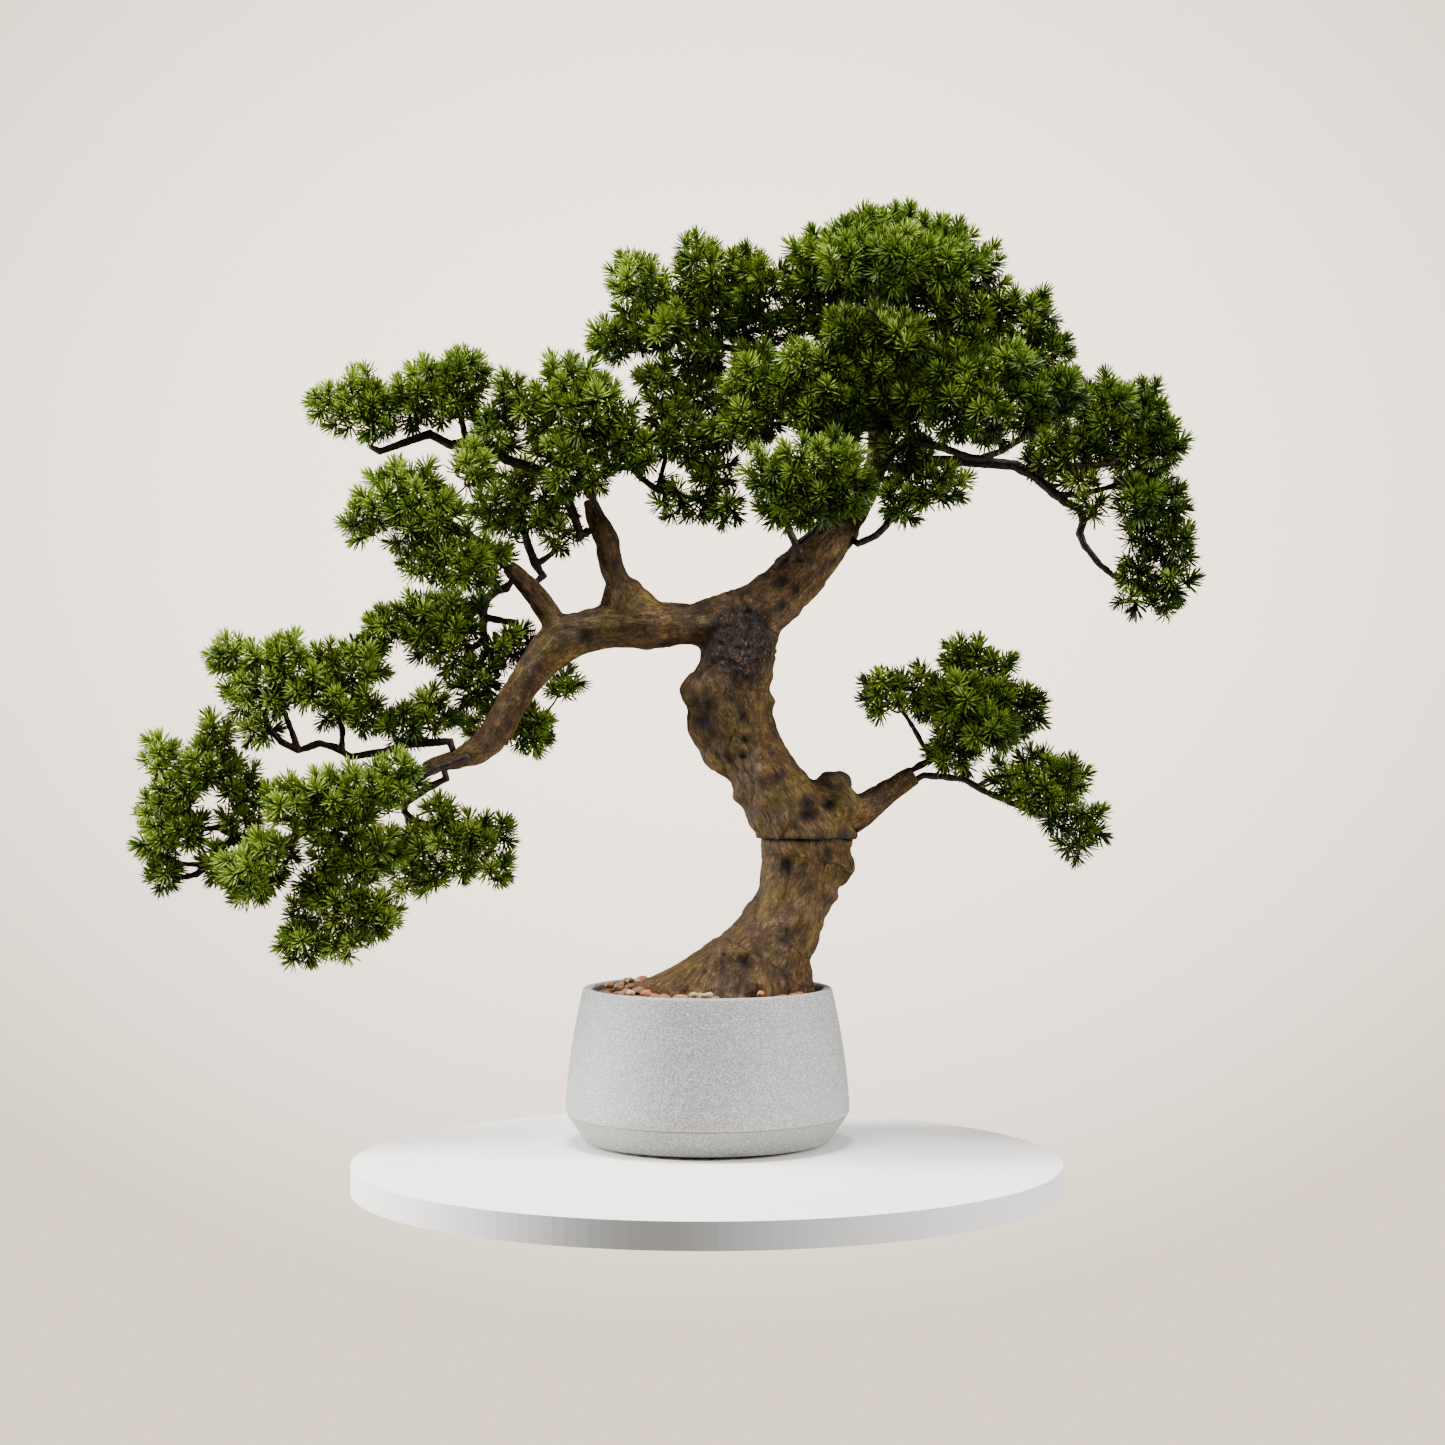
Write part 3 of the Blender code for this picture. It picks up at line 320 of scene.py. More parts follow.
def skin_of(name, nodes, voxel, smoothings, swells=()):
    """One closed skin over copies of these CAD nodes and over some swellings, with its corners smoothed away."""
    made = []
    for x, y, z, radius in swells:
        deselect()
        bpy.ops.mesh.primitive_ico_sphere_add(
            subdivisions=3, radius=radius / 1000, location=(x / 1000, y / 1000, z / 1000)
        )
        made.append(bpy.context.object)
    for node in nodes:
        made.append(bpy.data.objects.new(name, frame["nodes"][node].data.copy()))
        bpy.context.collection.objects.link(made[-1])
    deselect()
    for part in made:
        part.select_set(True)
    bpy.context.view_layer.objects.active = made[-1]
    if len(made) > 1:
        bpy.ops.object.join()
    skin = bpy.context.view_layer.objects.active
    skin.name = skin.data.name = name
    edit(skin)
    bpy.ops.mesh.select_all(action="SELECT")
    bpy.ops.mesh.remove_doubles(threshold=1e-6)
    leave()
    skin.data.remesh_voxel_size = voxel
    bpy.ops.object.voxel_remesh()

    # Only the outer skin is kept, the one that holds the topmost point.
    topmost = max(skin.data.vertices, key=lambda v: v.co.z).index
    edit(skin)
    bpy.ops.mesh.select_all(action="DESELECT")
    leave()
    skin.data.vertices[topmost].select = True
    bpy.ops.object.mode_set(mode="EDIT")
    bpy.ops.mesh.select_linked()
    bpy.ops.mesh.select_all(action="INVERT")
    bpy.ops.mesh.delete(type="VERT")
    bpy.ops.mesh.select_all(action="SELECT")
    bpy.ops.mesh.vertices_smooth(factor=0.5, repeat=smoothings)
    leave()
    for polygon in skin.data.polygons:
        polygon.use_smooth = True
    return skin


def points_of(mesh):
    found = np.empty(len(mesh.vertices) * 3)
    mesh.vertices.foreach_get("co", found)
    return found.reshape(-1, 3)


def normals_of(mesh):
    found = np.empty(len(mesh.vertices) * 3)
    mesh.vertex_normals.foreach_get("vector", found)
    return found.reshape(-1, 3)


def carry(mesh, name, values, kind="FLOAT"):
    """Stores a value at each vertex, for the material."""
    field = "vector" if kind == "FLOAT_VECTOR" else "value"
    mesh.attributes.new(name, kind, "POINT").data.foreach_set(field, np.ravel(values).astype(np.float32))


def noise_at(points, scale, offset=0.0, stretch=1.0):
    """Smooth noise from about -1 to 1 at each point."""
    return np.array([
        noise.noise((x * scale + offset, y * scale - offset, z * scale * stretch)) for x, y, z in points
    ])


# The middle lines that the fibres follow, each point with the wood's radius there, in millimetres.
FIBRE_LINES = (
    ((4, 0, 90, 60), (14, 0, 126, 60), (36, 0, 148, 46), (60, 0, 180, 34), (77, 0, 222, 33), (81, 0, 243, 38),
     (64, 0, 270, 38), (41, 0, 302, 32), (23, 0, 334, 31), (14, 0, 362, 33), (25, 0, 388, 31), (28, 0, 416, 27)),
    ((28, 0, 416, 27), (-9, 0, 414, 19), (-48, -1, 413, 19), (-84, -3, 412, 18), (-116, -5, 402, 18),
     (-138, -7, 378, 15), (-157, -9, 349, 13), (-173, -11, 321, 13), (-200, -12, 306, 9), (-228, -12, 297, 6)),
    ((-72, -2, 418, 15), (-71, -2, 447, 11), (-80, -2, 480, 11), (-94, -2, 516, 7)),
    ((-110, -5, 400, 12), (-128, -3, 425, 10), (-145, -1, 446, 9), (-161, 1, 462, 7)),
    ((28, 0, 416, 27), (50, 0, 431, 22), (72, 0, 452, 21), (94, 2, 476, 19), (113, 4, 496, 13), (129, 7, 522, 10),
     (136, 10, 546, 9), (137, 10, 575, 9), (131, 9, 635, 8), (134, 6, 670, 6)),
    ((84, 0, 252, 25), (112, 0, 261, 17), (136, 0, 274, 12), (166, 0, 294, 8)),
)


def fibres_at(points):
    """Each point's place across and along the fibres of the bough that it is on, and that bough's radius."""
    best = np.full(len(points), np.inf)
    grain = np.zeros((len(points), 3))
    girth = np.zeros(len(points))
    for number, line in enumerate(FIBRE_LINES):
        along = number * 0.7
        for (*start, r_start), (*end, r_end) in zip(line, line[1:]):
            a, b = np.array(start) / 1000, np.array(end) / 1000
            reach = np.linalg.norm(b - a)
            course = (b - a) / reach
            share = np.clip((points - a) @ course / reach, 0, 1)
            radius = (r_start + (r_end - r_start) * share) / 1000
            out = points - (a + share[:, None] * (b - a))
            far = np.linalg.norm(out, axis=1)
            across = np.cross(course, (0, 1, 0))
            across /= np.linalg.norm(across)
            other = np.cross(course, across)
            nearer = far / radius < best
            around = np.stack([out @ across, out @ other], axis=1) / np.maximum(far, 1e-6)[:, None]
            grain[nearer, :2] = (around * radius[:, None])[nearer]
            grain[nearer, 2] = (along + share * reach)[nearer]
            girth[nearer] = radius[nearer]
            best[nearer] = (far / radius)[nearer]
            along += reach
    return grain, girth


# Knots and hollows on the front: place across and up, size and height in millimetres. A hollow's height is below 0.
KNOTS = (
    (-17, 366, 13, 4.5), (-8, 352, 8, 2.5), (44, 298, 5.5, 4.0), (43, 311, 5, 2.5), (28, 308, 3.5, -3.0),
    (29, 322, 3.5, -2.5), (20, 274, 6, 4.5), (78, 263, 6, -5.5), (79, 273, 5, -4.5), (96, 272, 4.5, -5.0),
    (88, 266, 4, 3.5), (82, 209, 7, 4.0), (62, 224, 6, -3.5), (103, 195, 5.5, 4.0), (66, 235, 6, 2.5),
    (14, 154, 5.5, 2.5), (14, 152, 2.5, -2.5), (87, 145, 5, -3.5), (94, 232, 6, -3.0), (108, 246, 5, -4.0),
    (110, 290, 9, 3.0), (98, 288, 6, 2.5), (36, 346, 8, 3.0), (15, 344, 7, 2.5), (-4, 335, 5, -2.5),
    (46, 372, 6, 3.0), (50, 352, 5, 3.0), (40, 130, 8, 3.0), (5, 132, 8, 3.0), (66, 128, 7, 3.0),
    (-30, 124, 8, 3.0), (-115, 412, 9, 2.5), (-113, 411, 4, -3.0), (-60, 424, 8, 3.0), (-96, 404, 7, -2.0),
    (-152, 352, 5, 2.5), (-166, 334, 5, 2.5), (-124, 398, 6, 2.0), (70, 452, 9, 2.5), (68, 441, 4, -2.5),
    (92, 470, 6, 2.5), (58, 428, 6, -2.0), (-80, 440, 4, 2.0), (-73, 462, 4, -1.5), (-84, 486, 5, 2.0),
    (62, 166, 6, -2.5), (48, 178, 5, 2.5), (77, 180, 5, 2.5), (30, 146, 6, -2.0), (56, 292, 5, -2.0),
)


# The height of the open seam, and half of the zone that its edges lie in. The middle of the stub's cut end, the way
# that it faces, and how far from that middle the cut can show.
trunk_seam, seam_zone = 0.243, 0.003
stub_end, stub_way, cut_reach = np.array((0.168, 0, 0.2952)), np.array((0.86, 0, 0.51)), 0.016


def weather(skin):
    """Lumps, flutes, knots and cracks on a skin of wood, and the values that its material reads."""
    points, normals = points_of(skin.data), normals_of(skin.data)
    grain, girth = fibres_at(points)
    slender = np.clip(girth / 0.022, 0.35, 1.0)
    lumps = noise_at(points, 27, 5.0)
    knobs = noise_at(points, 58, 11.0)
    dimples = noise_at(points, 120, 15.0)
    flutes = noise_at(grain, 70, 2.0, 0.30)
    fine = noise_at(grain, 260, 7.0, 0.30)
    pits = np.clip(noise_at(points, 95, 31.0) - 0.30, 0, 1)
    folds = np.clip(1 - np.abs(noise_at(points, 34, 21.0, 0.6)) / 0.07, 0, 1)
    putty = np.exp(-(
        ((points[:, 0] - 0.026) / 0.030) ** 2 + ((points[:, 2] - 0.398) / 0.032) ** 2
    ) ** 1.6)
    putty = np.clip(putty * 1.25 + 0.45 * knobs + 0.2 * dimples - 0.15, 0, 1)
    scratchy = noise_at(points, 240, 41.0)
    fibrous = 0.0009 * flutes + 0.0007 * fine - 0.0010 * folds
    rise = slender * (
        0.0030 * lumps + 0.0014 * knobs + 0.0011 * dimples + fibrous - 0.0018 * pits + 0.0018 * putty * scratchy
    )
    # A painted shade and highlight that follow the relief: pits, folds and low places darker, knobs and ridges
    # lighter, with the fibres' flutes in it.
    relief = (
        0.54 + 0.08 * knobs + 0.14 * dimples + 0.14 * flutes + 0.16 * fine - 0.10 * folds - 0.10 * pits
        + 0.06 * lumps
    )
    front = normals[:, 1] < 0.35
    for x, z, size, height in KNOTS:
        away = np.hypot(points[:, 0] - x / 1000, points[:, 2] - z / 1000) / (size / 1000)
        swell = np.exp(-1.1 * away**2) * front
        rise += swell * height / 1000 * slender
        # Painted shade darkens the hollows a lot and rings the foot of each raised knot; a painted highlight
        # lightens the knots a little.
        relief += swell * (0.05 if height > 0 else -0.36)
        if height > 0:
            relief -= 0.05 * np.exp(-3.5 * (away - 1.35) ** 2) * front
    points += normals * rise[:, None]

    # The two edges of the seam follow one ragged line, a hair apart.
    at_seam = np.abs(points[:, 2] - trunk_seam) < seam_zone
    if at_seam.any():
        ragged = 0.0016 * noise_at(points[at_seam] * (1, 1, 0), 45, 3.0)
        points[at_seam, 2] = trunk_seam + ragged + (-0.0002 if skin is trunk_foot else 0.0002)
    skin.data.vertices.foreach_set("co", points.ravel())
    skin.data.update()
    carry(skin.data, "relief", relief)
    carry(skin.data, "putty", putty)
    along_stub = (points - stub_end) @ stub_way
    near_stub = np.linalg.norm(points - stub_end, axis=1) < cut_reach
    carry(skin.data, "cut", np.where(near_stub, np.clip(along_stub / 0.003 + 1.6, 0, 1), 0))
    # A painted shade along the open seam.
    seam = np.clip(1 - np.abs(points[:, 2] - trunk_seam) / 0.0035, 0, 1) * (points[:, 0] > 0.02)
    carry(skin.data, "seam", seam)
    carry(skin.data, "grain", grain, "FLOAT_VECTOR")


bark, place, wear = new_finish("weathered_wood", Specular_IOR_Level=0.22)
fibre_place = attribute_of(place, "grain", 1)
relief = attribute_of(place, "relief")
blackened = attribute_of(place, "putty")
cut, seam = attribute_of(place, "cut"), attribute_of(place, "seam")
flecks = fibre_place.grain(520, 3, 0.75, stretch=(1, 1, 0.42))
threads = fibre_place.grain(260, 4, 0.68, stretch=(1, 1, 0.30), offset=4.0)
mottle = place.grain(150, 5, 0.70)
blotches = place.grain(34, 3, 0.55, offset=2.0)
# The wood's tone: the painted relief shade, with threads, mottle and blotches of its own colour.
shade = relief + 0.42 * (threads - 0.5) + 0.42 * (mottle - 0.5) + 0.25 * (blotches - 0.5)
brown = shade.ramp(
    (0.15, (0.0080, 0.0030, 0.0004)), (0.36, (0.0280, 0.0118, 0.0018)), (0.54, (0.0600, 0.0270, 0.0046)),
    (0.72, (0.1000, 0.0500, 0.0105)), (0.95, (0.1800, 0.1020, 0.0300)),
)
olive = shade.ramp(
    (0.15, (0.0085, 0.0046, 0.0004)), (0.40, (0.0410, 0.0228, 0.0021)), (0.64, (0.0880, 0.0520, 0.0056)),
    (0.95, (0.1950, 0.1240, 0.0210)),
)
mauve = shade.ramp(
    (0.15, (0.0110, 0.0050, 0.0022)), (0.44, (0.0490, 0.0255, 0.0125)), (0.70, (0.0980, 0.0570, 0.0310)),
    (0.95, (0.1850, 0.1260, 0.0780)),
)
wood = blotches.held(0.46, 0.60).tint(brown, olive)
wood = (place.grain(26, 3, 0.55, offset=9.0).held(0.52, 0.62) * 0.75).tint(wood, mauve)
# Gold flecks of the grain, shown only on raised wood, as a painted highlight there.
gold = (flecks + 0.30 * (mottle - 0.5)).held(0.54, 0.66)
wood = (gold * 0.50 * relief.held(0.30, 0.60)).tint(wood, (0.260, 0.165, 0.050))
wood = ((1 - flecks.held(0.36, 0.47)) * 0.65).tint(wood, (0.0080, 0.0036, 0.0010))
# Painted shade in the open seam, broken up by the mottle.
wood = (seam * 0.85 * mottle.held(0.30, 0.55)).tint(wood, (0.003, 0.002, 0.001))
wood = cut.tint(wood, threads.ramp((0.3, (0.060, 0.062, 0.034)), (0.7, (0.14, 0.14, 0.090))))
scratches = place.grain(420, 4, 0.72, stretch=(1, 1, 0.6))
black = (scratches + 0.35 * (mottle - 0.5)).ramp(
    (0.40, (0.0012, 0.0005, 0.0002)), (0.52, (0.0060, 0.0026, 0.0009)), (0.59, (0.0480, 0.0190, 0.0045)),
    (0.70, (0.160, 0.095, 0.050)),
)
wear(
    Base_Color=(blackened.held(0.20, 0.65) * 0.96).tint(wood, black),
    Roughness=0.66 - 0.22 * mottle.held(0.35, 0.75) + 0.1 * flecks,
    Normal=(flecks * 0.6 + mottle * 0.8 + threads * 0.6 + 0.8 * scratches * blackened).bumped(0.0030),
)

trunk_foot = skin_of("trunk_foot", ["trunk_lower"], 0.0016, 12, ((101, 0, 220, 18),))
above_seam = [
    "trunk_upper", "fork_joint", "left_bough", "riser_bough", "left_stub_bough", "right_bough", "crown_leader",
]
trunk_and_boughs = skin_of(
    "trunk_and_boughs", above_seam, 0.0016, 12,
    ((22, 0, 318, 29), (14, 0, 335, 29.5), (-56, -2, 428, 16), (-62, -2, 440, 12), (-3, -6, 366, 14),
     (52, -8, 296, 13), (106, -9, 270, 17), (93, -12, 264, 17), (116, -4, 264, 13), (104, 0, 284, 12)),
)
cut_stub = skin_of("cut_stub", ["low_right_stub"], 0.0012, 8)
for skin, replaced in (
    (trunk_foot, ["trunk_lower"]), (trunk_and_boughs, above_seam), (cut_stub, ["low_right_stub"]),
):
    weather(skin)
    dress(skin, bark)
    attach(skin, "pot_and_wood")
    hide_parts(*replaced)

# ---- The pebbles -----------------------------------------------------------------------------------------------
# Tan, orange, white and brown river stones round the roots, each in one of six water-worn shapes, on a near-black
# bed that is painted shade in the gaps between them.
# They are glued down on the foam, and where they are heaped they stand a little above the lip.

draw = random.Random(12)
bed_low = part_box("gravel_bed")[0]
bed_radius = rim_radius - pot_wall - 0.0004
deselect()
bpy.ops.mesh.primitive_circle_add(
    vertices=96, radius=bed_radius, fill_type="TRIFAN", location=(0, 0, bed_low.z + 0.0004)
)
shade_bed = bpy.context.object
shade_bed.name = shade_bed.data.name = "painted_shade_bed"
edit(shade_bed)
bed_depth = pot_top - 0.0075 - bed_low.z
bpy.ops.mesh.extrude_region_move(TRANSFORM_OT_translate={"value": (0, 0, bed_depth)})
bpy.ops.mesh.subdivide(number_cuts=8)
bpy.ops.mesh.select_all(action="SELECT")
bpy.ops.mesh.normals_make_consistent(inside=False)
leave()
finish_place(shade_bed)
for vertex in shade_bed.data.vertices:
    if vertex.co.z > bed_low.z + 0.7 * bed_depth:
        crown = 1 - (vertex.co.xy.length / bed_radius) ** 2
        vertex.co.z += 0.0016 * noise.noise(vertex.co * 160) + 0.003 * crown
# The bed is near black: painted shade for the gaps between the stones.
shade_bed_finish, place, wear = new_finish("painted_shade_bed_finish")
bed_grain = place.grain(520, 5, 0.7)
wear(
    Base_Color=bed_grain.ramp(
        (0.3, (0.008, 0.006, 0.004)), (0.55, (0.030, 0.022, 0.015)), (0.8, (0.10, 0.075, 0.05)),
    ),
    Roughness=0.7 + 0.3 * bed_grain,
    Normal=bed_grain.bumped(0.0022),
)
dress(shade_bed, shade_bed_finish)
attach(shade_bed, "pot_and_wood")
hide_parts("gravel_bed")

stone_shapes = []
for number in range(6):
    deselect()
    bpy.ops.mesh.primitive_ico_sphere_add(subdivisions=2, radius=1)
    stone = bpy.context.object
    for vertex in stone.data.vertices:
        worn = 1 + 0.30 * noise.noise(vertex.co * 1.1 + Vector((number * 7, 0, 0)))
        worn += 0.14 * noise.noise(vertex.co * 2.6 + Vector((0, number * 5, 0)))
        vertex.co *= worn
    edit(stone)
    bpy.ops.mesh.select_all(action="SELECT")
    flatter = (1.0, draw.uniform(0.62, 0.85), draw.uniform(0.45, 0.68))
    bpy.ops.transform.resize(value=flatter, center_override=(0, 0, 0))
    leave()
    stone_shapes.append((points_of(stone.data), [tuple(p.vertices) for p in stone.data.polygons]))
    bpy.data.objects.remove(stone)


def assemble(name, copies):
    """One mesh from (points, faces) copies."""
    starts = np.cumsum([0, *(len(points) for points, _ in copies)])
    mesh = bpy.data.meshes.new(name)
    faces = [
        tuple(int(start) + corner for corner in face)
        for start, (_, made) in zip(starts, copies) for face in made
    ]
    mesh.from_pydata(np.concatenate([points for points, _ in copies]).tolist(), [], faces)
    piece = bpy.data.objects.new(name, mesh)
    bpy.context.collection.objects.link(piece)
    return piece


root_tree = BVHTree.FromPolygons(
    [v.co for v in trunk_foot.data.vertices], [p.vertices for p in trunk_foot.data.polygons]
)

# Where the stones are heaped: middles and widths in millimetres. Away from the heaps they lie lower.
HEAPS = ((-58, -52, 26), (-16, -78, 24), (74, -46, 20), (-62, 30, 30), (10, 74, 34), (70, 40, 26), (40, -74, 9))
hollow = 0.0045

# Each layer's level against the lip, the stones that are tried in it, their least and largest size, and how much of
# a heap has to be under them.
LAYERS = (
    (-0.0024, 500, 0.0055, 0.0090, 0.0), (-0.0038, 700, 0.0034, 0.0060, 0.0), (0.0022, 900, 0.0038, 0.0070, 0.35),
)
stones, hues, laid = [], [], []
for level, tries, least, most, heap_needed in LAYERS:
    for _ in range(tries):
        radius, angle = bed_radius * math.sqrt(draw.uniform(0.05, 1)), draw.uniform(0, math.tau)
        size = draw.uniform(least, most)
        x, y = radius * math.cos(angle), radius * math.sin(angle)
        heap = max(
            math.exp(-((x * 1000 - heap_x) ** 2 + (y * 1000 - heap_y) ** 2) / wide**2)
            for heap_x, heap_y, wide in HEAPS
        )
        if heap < heap_needed:
            continue
        spot = Vector((x, y, pot_top + level - hollow * (1 - heap) + draw.uniform(-0.001, 0.001)))
        close = root_tree.find_nearest(spot)
        inside = (spot - close[0]).dot(close[1]) < 0
        if radius + size * 0.95 > bed_radius or inside or close[3] < size * 0.5:
            continue
        if any((spot - other).length < 0.78 * (size + wide) for other, wide in laid):
            continue
        laid.append((spot, size))
        turn = Matrix.Rotation(draw.uniform(0, math.tau), 3, "Z")
        turn = turn @ Matrix.Rotation(draw.uniform(-0.6, 0.6), 3, "X")
        points, faces = draw.choice(stone_shapes)
        stones.append((points * size @ np.array(turn).T + np.array(spot), faces))
        hues.append(draw.random())
pebbles = assemble("pebbles", stones)
carry(pebbles.data, "hue", np.repeat(hues, [len(points) for points, _ in stones]))
for polygon in pebbles.data.polygons:
    polygon.use_smooth = True
quartz, place, wear = new_finish("river_pebbles")
hue = attribute_of(place, "hue")
veins = place.grain(260, 4, 0.65)
dust = place.grain(900, 3, 0.6)
stone_colour = hue.ramp(
    (0.00, (0.42, 0.25, 0.10)), (0.16, (0.17, 0.075, 0.024)), (0.32, (0.54, 0.37, 0.20)),
    (0.46, (0.10, 0.05, 0.020)), (0.58, (0.48, 0.19, 0.045)), (0.70, (0.62, 0.48, 0.33)),
    (0.82, (0.26, 0.14, 0.060)), (0.94, (0.50, 0.13, 0.03)),
)
stained = stone_colour.node(
    "ShaderNodeMix", {"data_type": "RGBA", "blend_type": "MULTIPLY"},
    {"Factor": 1.0, 6: stone_colour, 7: (0.45, 0.38, 0.32, 1)}, 2,
)
stone_colour = (veins.held(0.35, 0.7) * 0.75).tint(stained, stone_colour)
wear(Base_Color=stone_colour, Roughness=0.38 + 0.4 * dust, Normal=(veins + 0.5 * dust).bumped(0.0009))
dress(pebbles, quartz)
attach(pebbles, "pot_and_wood")
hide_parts("gravel_bed")

# ---- The sprays ------------------------------------------------------------------------------------------------
# Each is a wired stem, wrapped and dipped in dark brown plastic, that pegs into the wood, with thin twigs pushed
# into it. A moulded tuft of green needles is heat-set on the end of every twig. A spray turns with its own body.

dark_wrap, place, wear = new_finish("dipped_stem", Specular_IOR_Level=0.2)
nodules = place.grain(230, 4, 0.6)
scales = place.grain(800, 3, 0.65)
wear(
    Base_Color=(nodules + 0.5 * (scales - 0.5)).ramp(
        (0.28, (0.0050, 0.0020, 0.0014)), (0.50, (0.0170, 0.0078, 0.0050)), (0.66, (0.0400, 0.0200, 0.0125)),
        (0.85, (0.110, 0.066, 0.042)),
    ),
    Roughness=0.24 + 0.35 * scales,
    Normal=(nodules + 0.5 * scales).bumped(0.0009),
)

green, place, wear = new_finish("moulded_needles", Specular_IOR_Level=0.28)
along = attribute_of(place, "along")
fresh = attribute_of(place, "fresh")
flecks = place.grain(60, 2, 0.5)
# The needles' painted light, with flecks of tone of their own.
shade = fresh + 0.2 * (flecks - 0.5)
leaf = shade.ramp(
    (0.05, (0.0018, 0.0048, 0.0001)), (0.35, (0.0092, 0.0225, 0.0003)), (0.62, (0.0260, 0.0540, 0.0008)),
    (0.92, (0.0800, 0.1300, 0.0030)),
)
tip = shade.ramp(
    (0.05, (0.0120, 0.0280, 0.0008)), (0.35, (0.0540, 0.1040, 0.0030)), (0.62, (0.1350, 0.2150, 0.0090)),
    (0.92, (0.3300, 0.4300, 0.0500)),
)
wear(Base_Color=along.held(0.20, 0.80).tint(leaf, tip), Roughness=0.32 + 0.2 * flecks)

# One needle: a three-sided blade that widens to a shoulder and ends in a short point, bowed a little.
needle_length, needle_radius = 0.0136, 0.00052
shoulder_share, shoulder_radius, needle_bow = 0.72, 0.00070, 0.0016
deselect()
bpy.ops.mesh.primitive_cone_add(vertices=3, radius1=needle_radius, radius2=0, depth=needle_length,
                                location=(0, 0, needle_length / 2))
needle = bpy.context.object
finish_place(needle)
edit(needle)
bpy.ops.mesh.select_all(action="SELECT")
bpy.ops.mesh.bisect(plane_co=(0, 0, needle_length * shoulder_share), plane_no=(0, 0, 1))
leave()
needle_points = points_of(needle.data)
needle_faces = [tuple(p.vertices) for p in needle.data.polygons]
bpy.data.objects.remove(needle)
shoulder = np.abs(needle_points[:, 2] - needle_length * shoulder_share) < 1e-5
needle_points[shoulder, :2] *= shoulder_radius / (needle_radius * (1 - shoulder_share))
needle_share = needle_points[:, 2] / needle_length
needle_points[:, 0] += needle_bow * (needle_share**2 - 0.2 * needle_share)

# Eight tufts of that needle, set in a spiral up the last few millimetres of a twig.
spiral_turn, tuft_foot, tuft_height = 2.39996, -0.0045, 0.0065
tufts = []
for number in range(8):
    draw = random.Random(100 + number)
    count = draw.randint(40, 45)
    points, faces, share = [], [], []
    for i in range(count):
        up = i / (count - 1)
        lean = math.radians(96 - 78 * up**0.9 + draw.uniform(-9, 9))
        spin = i * spiral_turn + draw.uniform(-0.25, 0.25)
        grow = draw.uniform(0.82, 1.08) * (1 - 0.10 * up)
        turn = Matrix.Rotation(spin, 3, "Z") @ Matrix.Rotation(lean, 3, "Y") @ Matrix.Rotation(math.pi, 3, "Z")
        turn = np.array(turn)
        start = np.array((0, 0, tuft_foot + tuft_height * up))
        first = len(points) * len(needle_points)
        faces += [tuple(first + corner for corner in face) for face in needle_faces]
        points.append(needle_points * grow @ turn.T + start)
        share.append(needle_share)
    tufts.append((np.concatenate(points), faces, np.concatenate(share)))


# Where a spray bulges past its even outline: middles and radii in millimetres.
BULGES = {
    "crown_left": ((-56, 2, 688, 18), (24, 8, 700, 12), (-6, 6, 630, 15)),
    "crown_top": ((42, 6, 684, 18), (95, 10, 662, 14), (120, 12, 660, 14), (150, 12, 658, 16), (180, 8, 656, 16),
                  (64, 10, 662, 14)),
    "crown_shoulder": ((206, 2, 662, 14), (204, 4, 640, 15), (188, -4, 622, 13)),
    "crown_mid_right": ((131, -28, 640, 18), (150, -34, 636, 16), (164, 4, 546, 13), (150, -10, 552, 12),
                        (134, -26, 612, 17), (148, -26, 588, 16), (128, -24, 590, 13)),
    "crown_mid_left": ((110, -30, 640, 16), (35, -16, 576, 15), (108, -26, 612, 16), (114, -24, 588, 15),
                       (92, -22, 592, 14), (66, -20, 604, 14), (16, -10, 566, 12), (26, -8, 600, 14),
                       (38, -6, 620, 13)),
    "crown_low_front": ((72, -18, 520, 12), (88, -18, 508, 12), (104, -20, 570, 13), (84, -16, 574, 13)),
    "left_top_outer": ((-168, -8, 569, 15),),
    "left_top_inner": ((-108, -14, 536, 18), (-122, -12, 548, 14), (-95, -14, 535, 12)),
    "bridge": ((-69, -6, 556, 15), (-55, -4, 552, 12), (-40, 0, 610, 11)),
    "left_mid_outer": ((-182, -20, 540, 13), (-210, -20, 462, 14), (-190, -16, 460, 14), (-228, -22, 464, 12),
                       (-172, 0, 462, 12)),
    "left_hang": ((-155, 10, 395, 14),),
    "elbow_sprig": ((-116, 8, 369, 9), (-142, 8, 330, 12)),
    "low_left_upper": ((-275, 0, 382, 14), (-382, -2, 389, 10), (-222, -2, 342, 14), (-240, -2, 336, 12),
                       (-358, -4, 329, 8)),
    "low_left_front": ((-362, -28, 216, 18), (-345, -26, 230, 14), (-322, -12, 160, 12), (-262, -10, 180, 12),
                       (-272, -20, 222, 14), (-258, -16, 238, 12)),
    "low_left_far": ((-385, 0, 222, 12), (-375, 4, 255, 10), (-438, 0, 309, 10)),
    "low_left_inner": ((-168, 4, 216, 8),),
    "right_droop": ((271, -4, 552, 14), (290, -6, 556, 10), (298, -4, 532, 10), (305, -6, 505, 8)),
    "low_right_upper": ((198, 0, 312, 14),),
}


# Tufts stand this far proud of a spray's solid and this deep in it, no further to the front or back than the pot's
# belly, and clear of the wood. They are tried on a loose grid.
proud, deep, tuft_limit, wood_gap, grid = 0.0038, 0.020, 0.111, 0.008, 0.0045
wood_tree = BVHTree.FromPolygons(
    [v.co for v in trunk_and_boughs.data.vertices], [p.vertices for p in trunk_and_boughs.data.polygons]
)


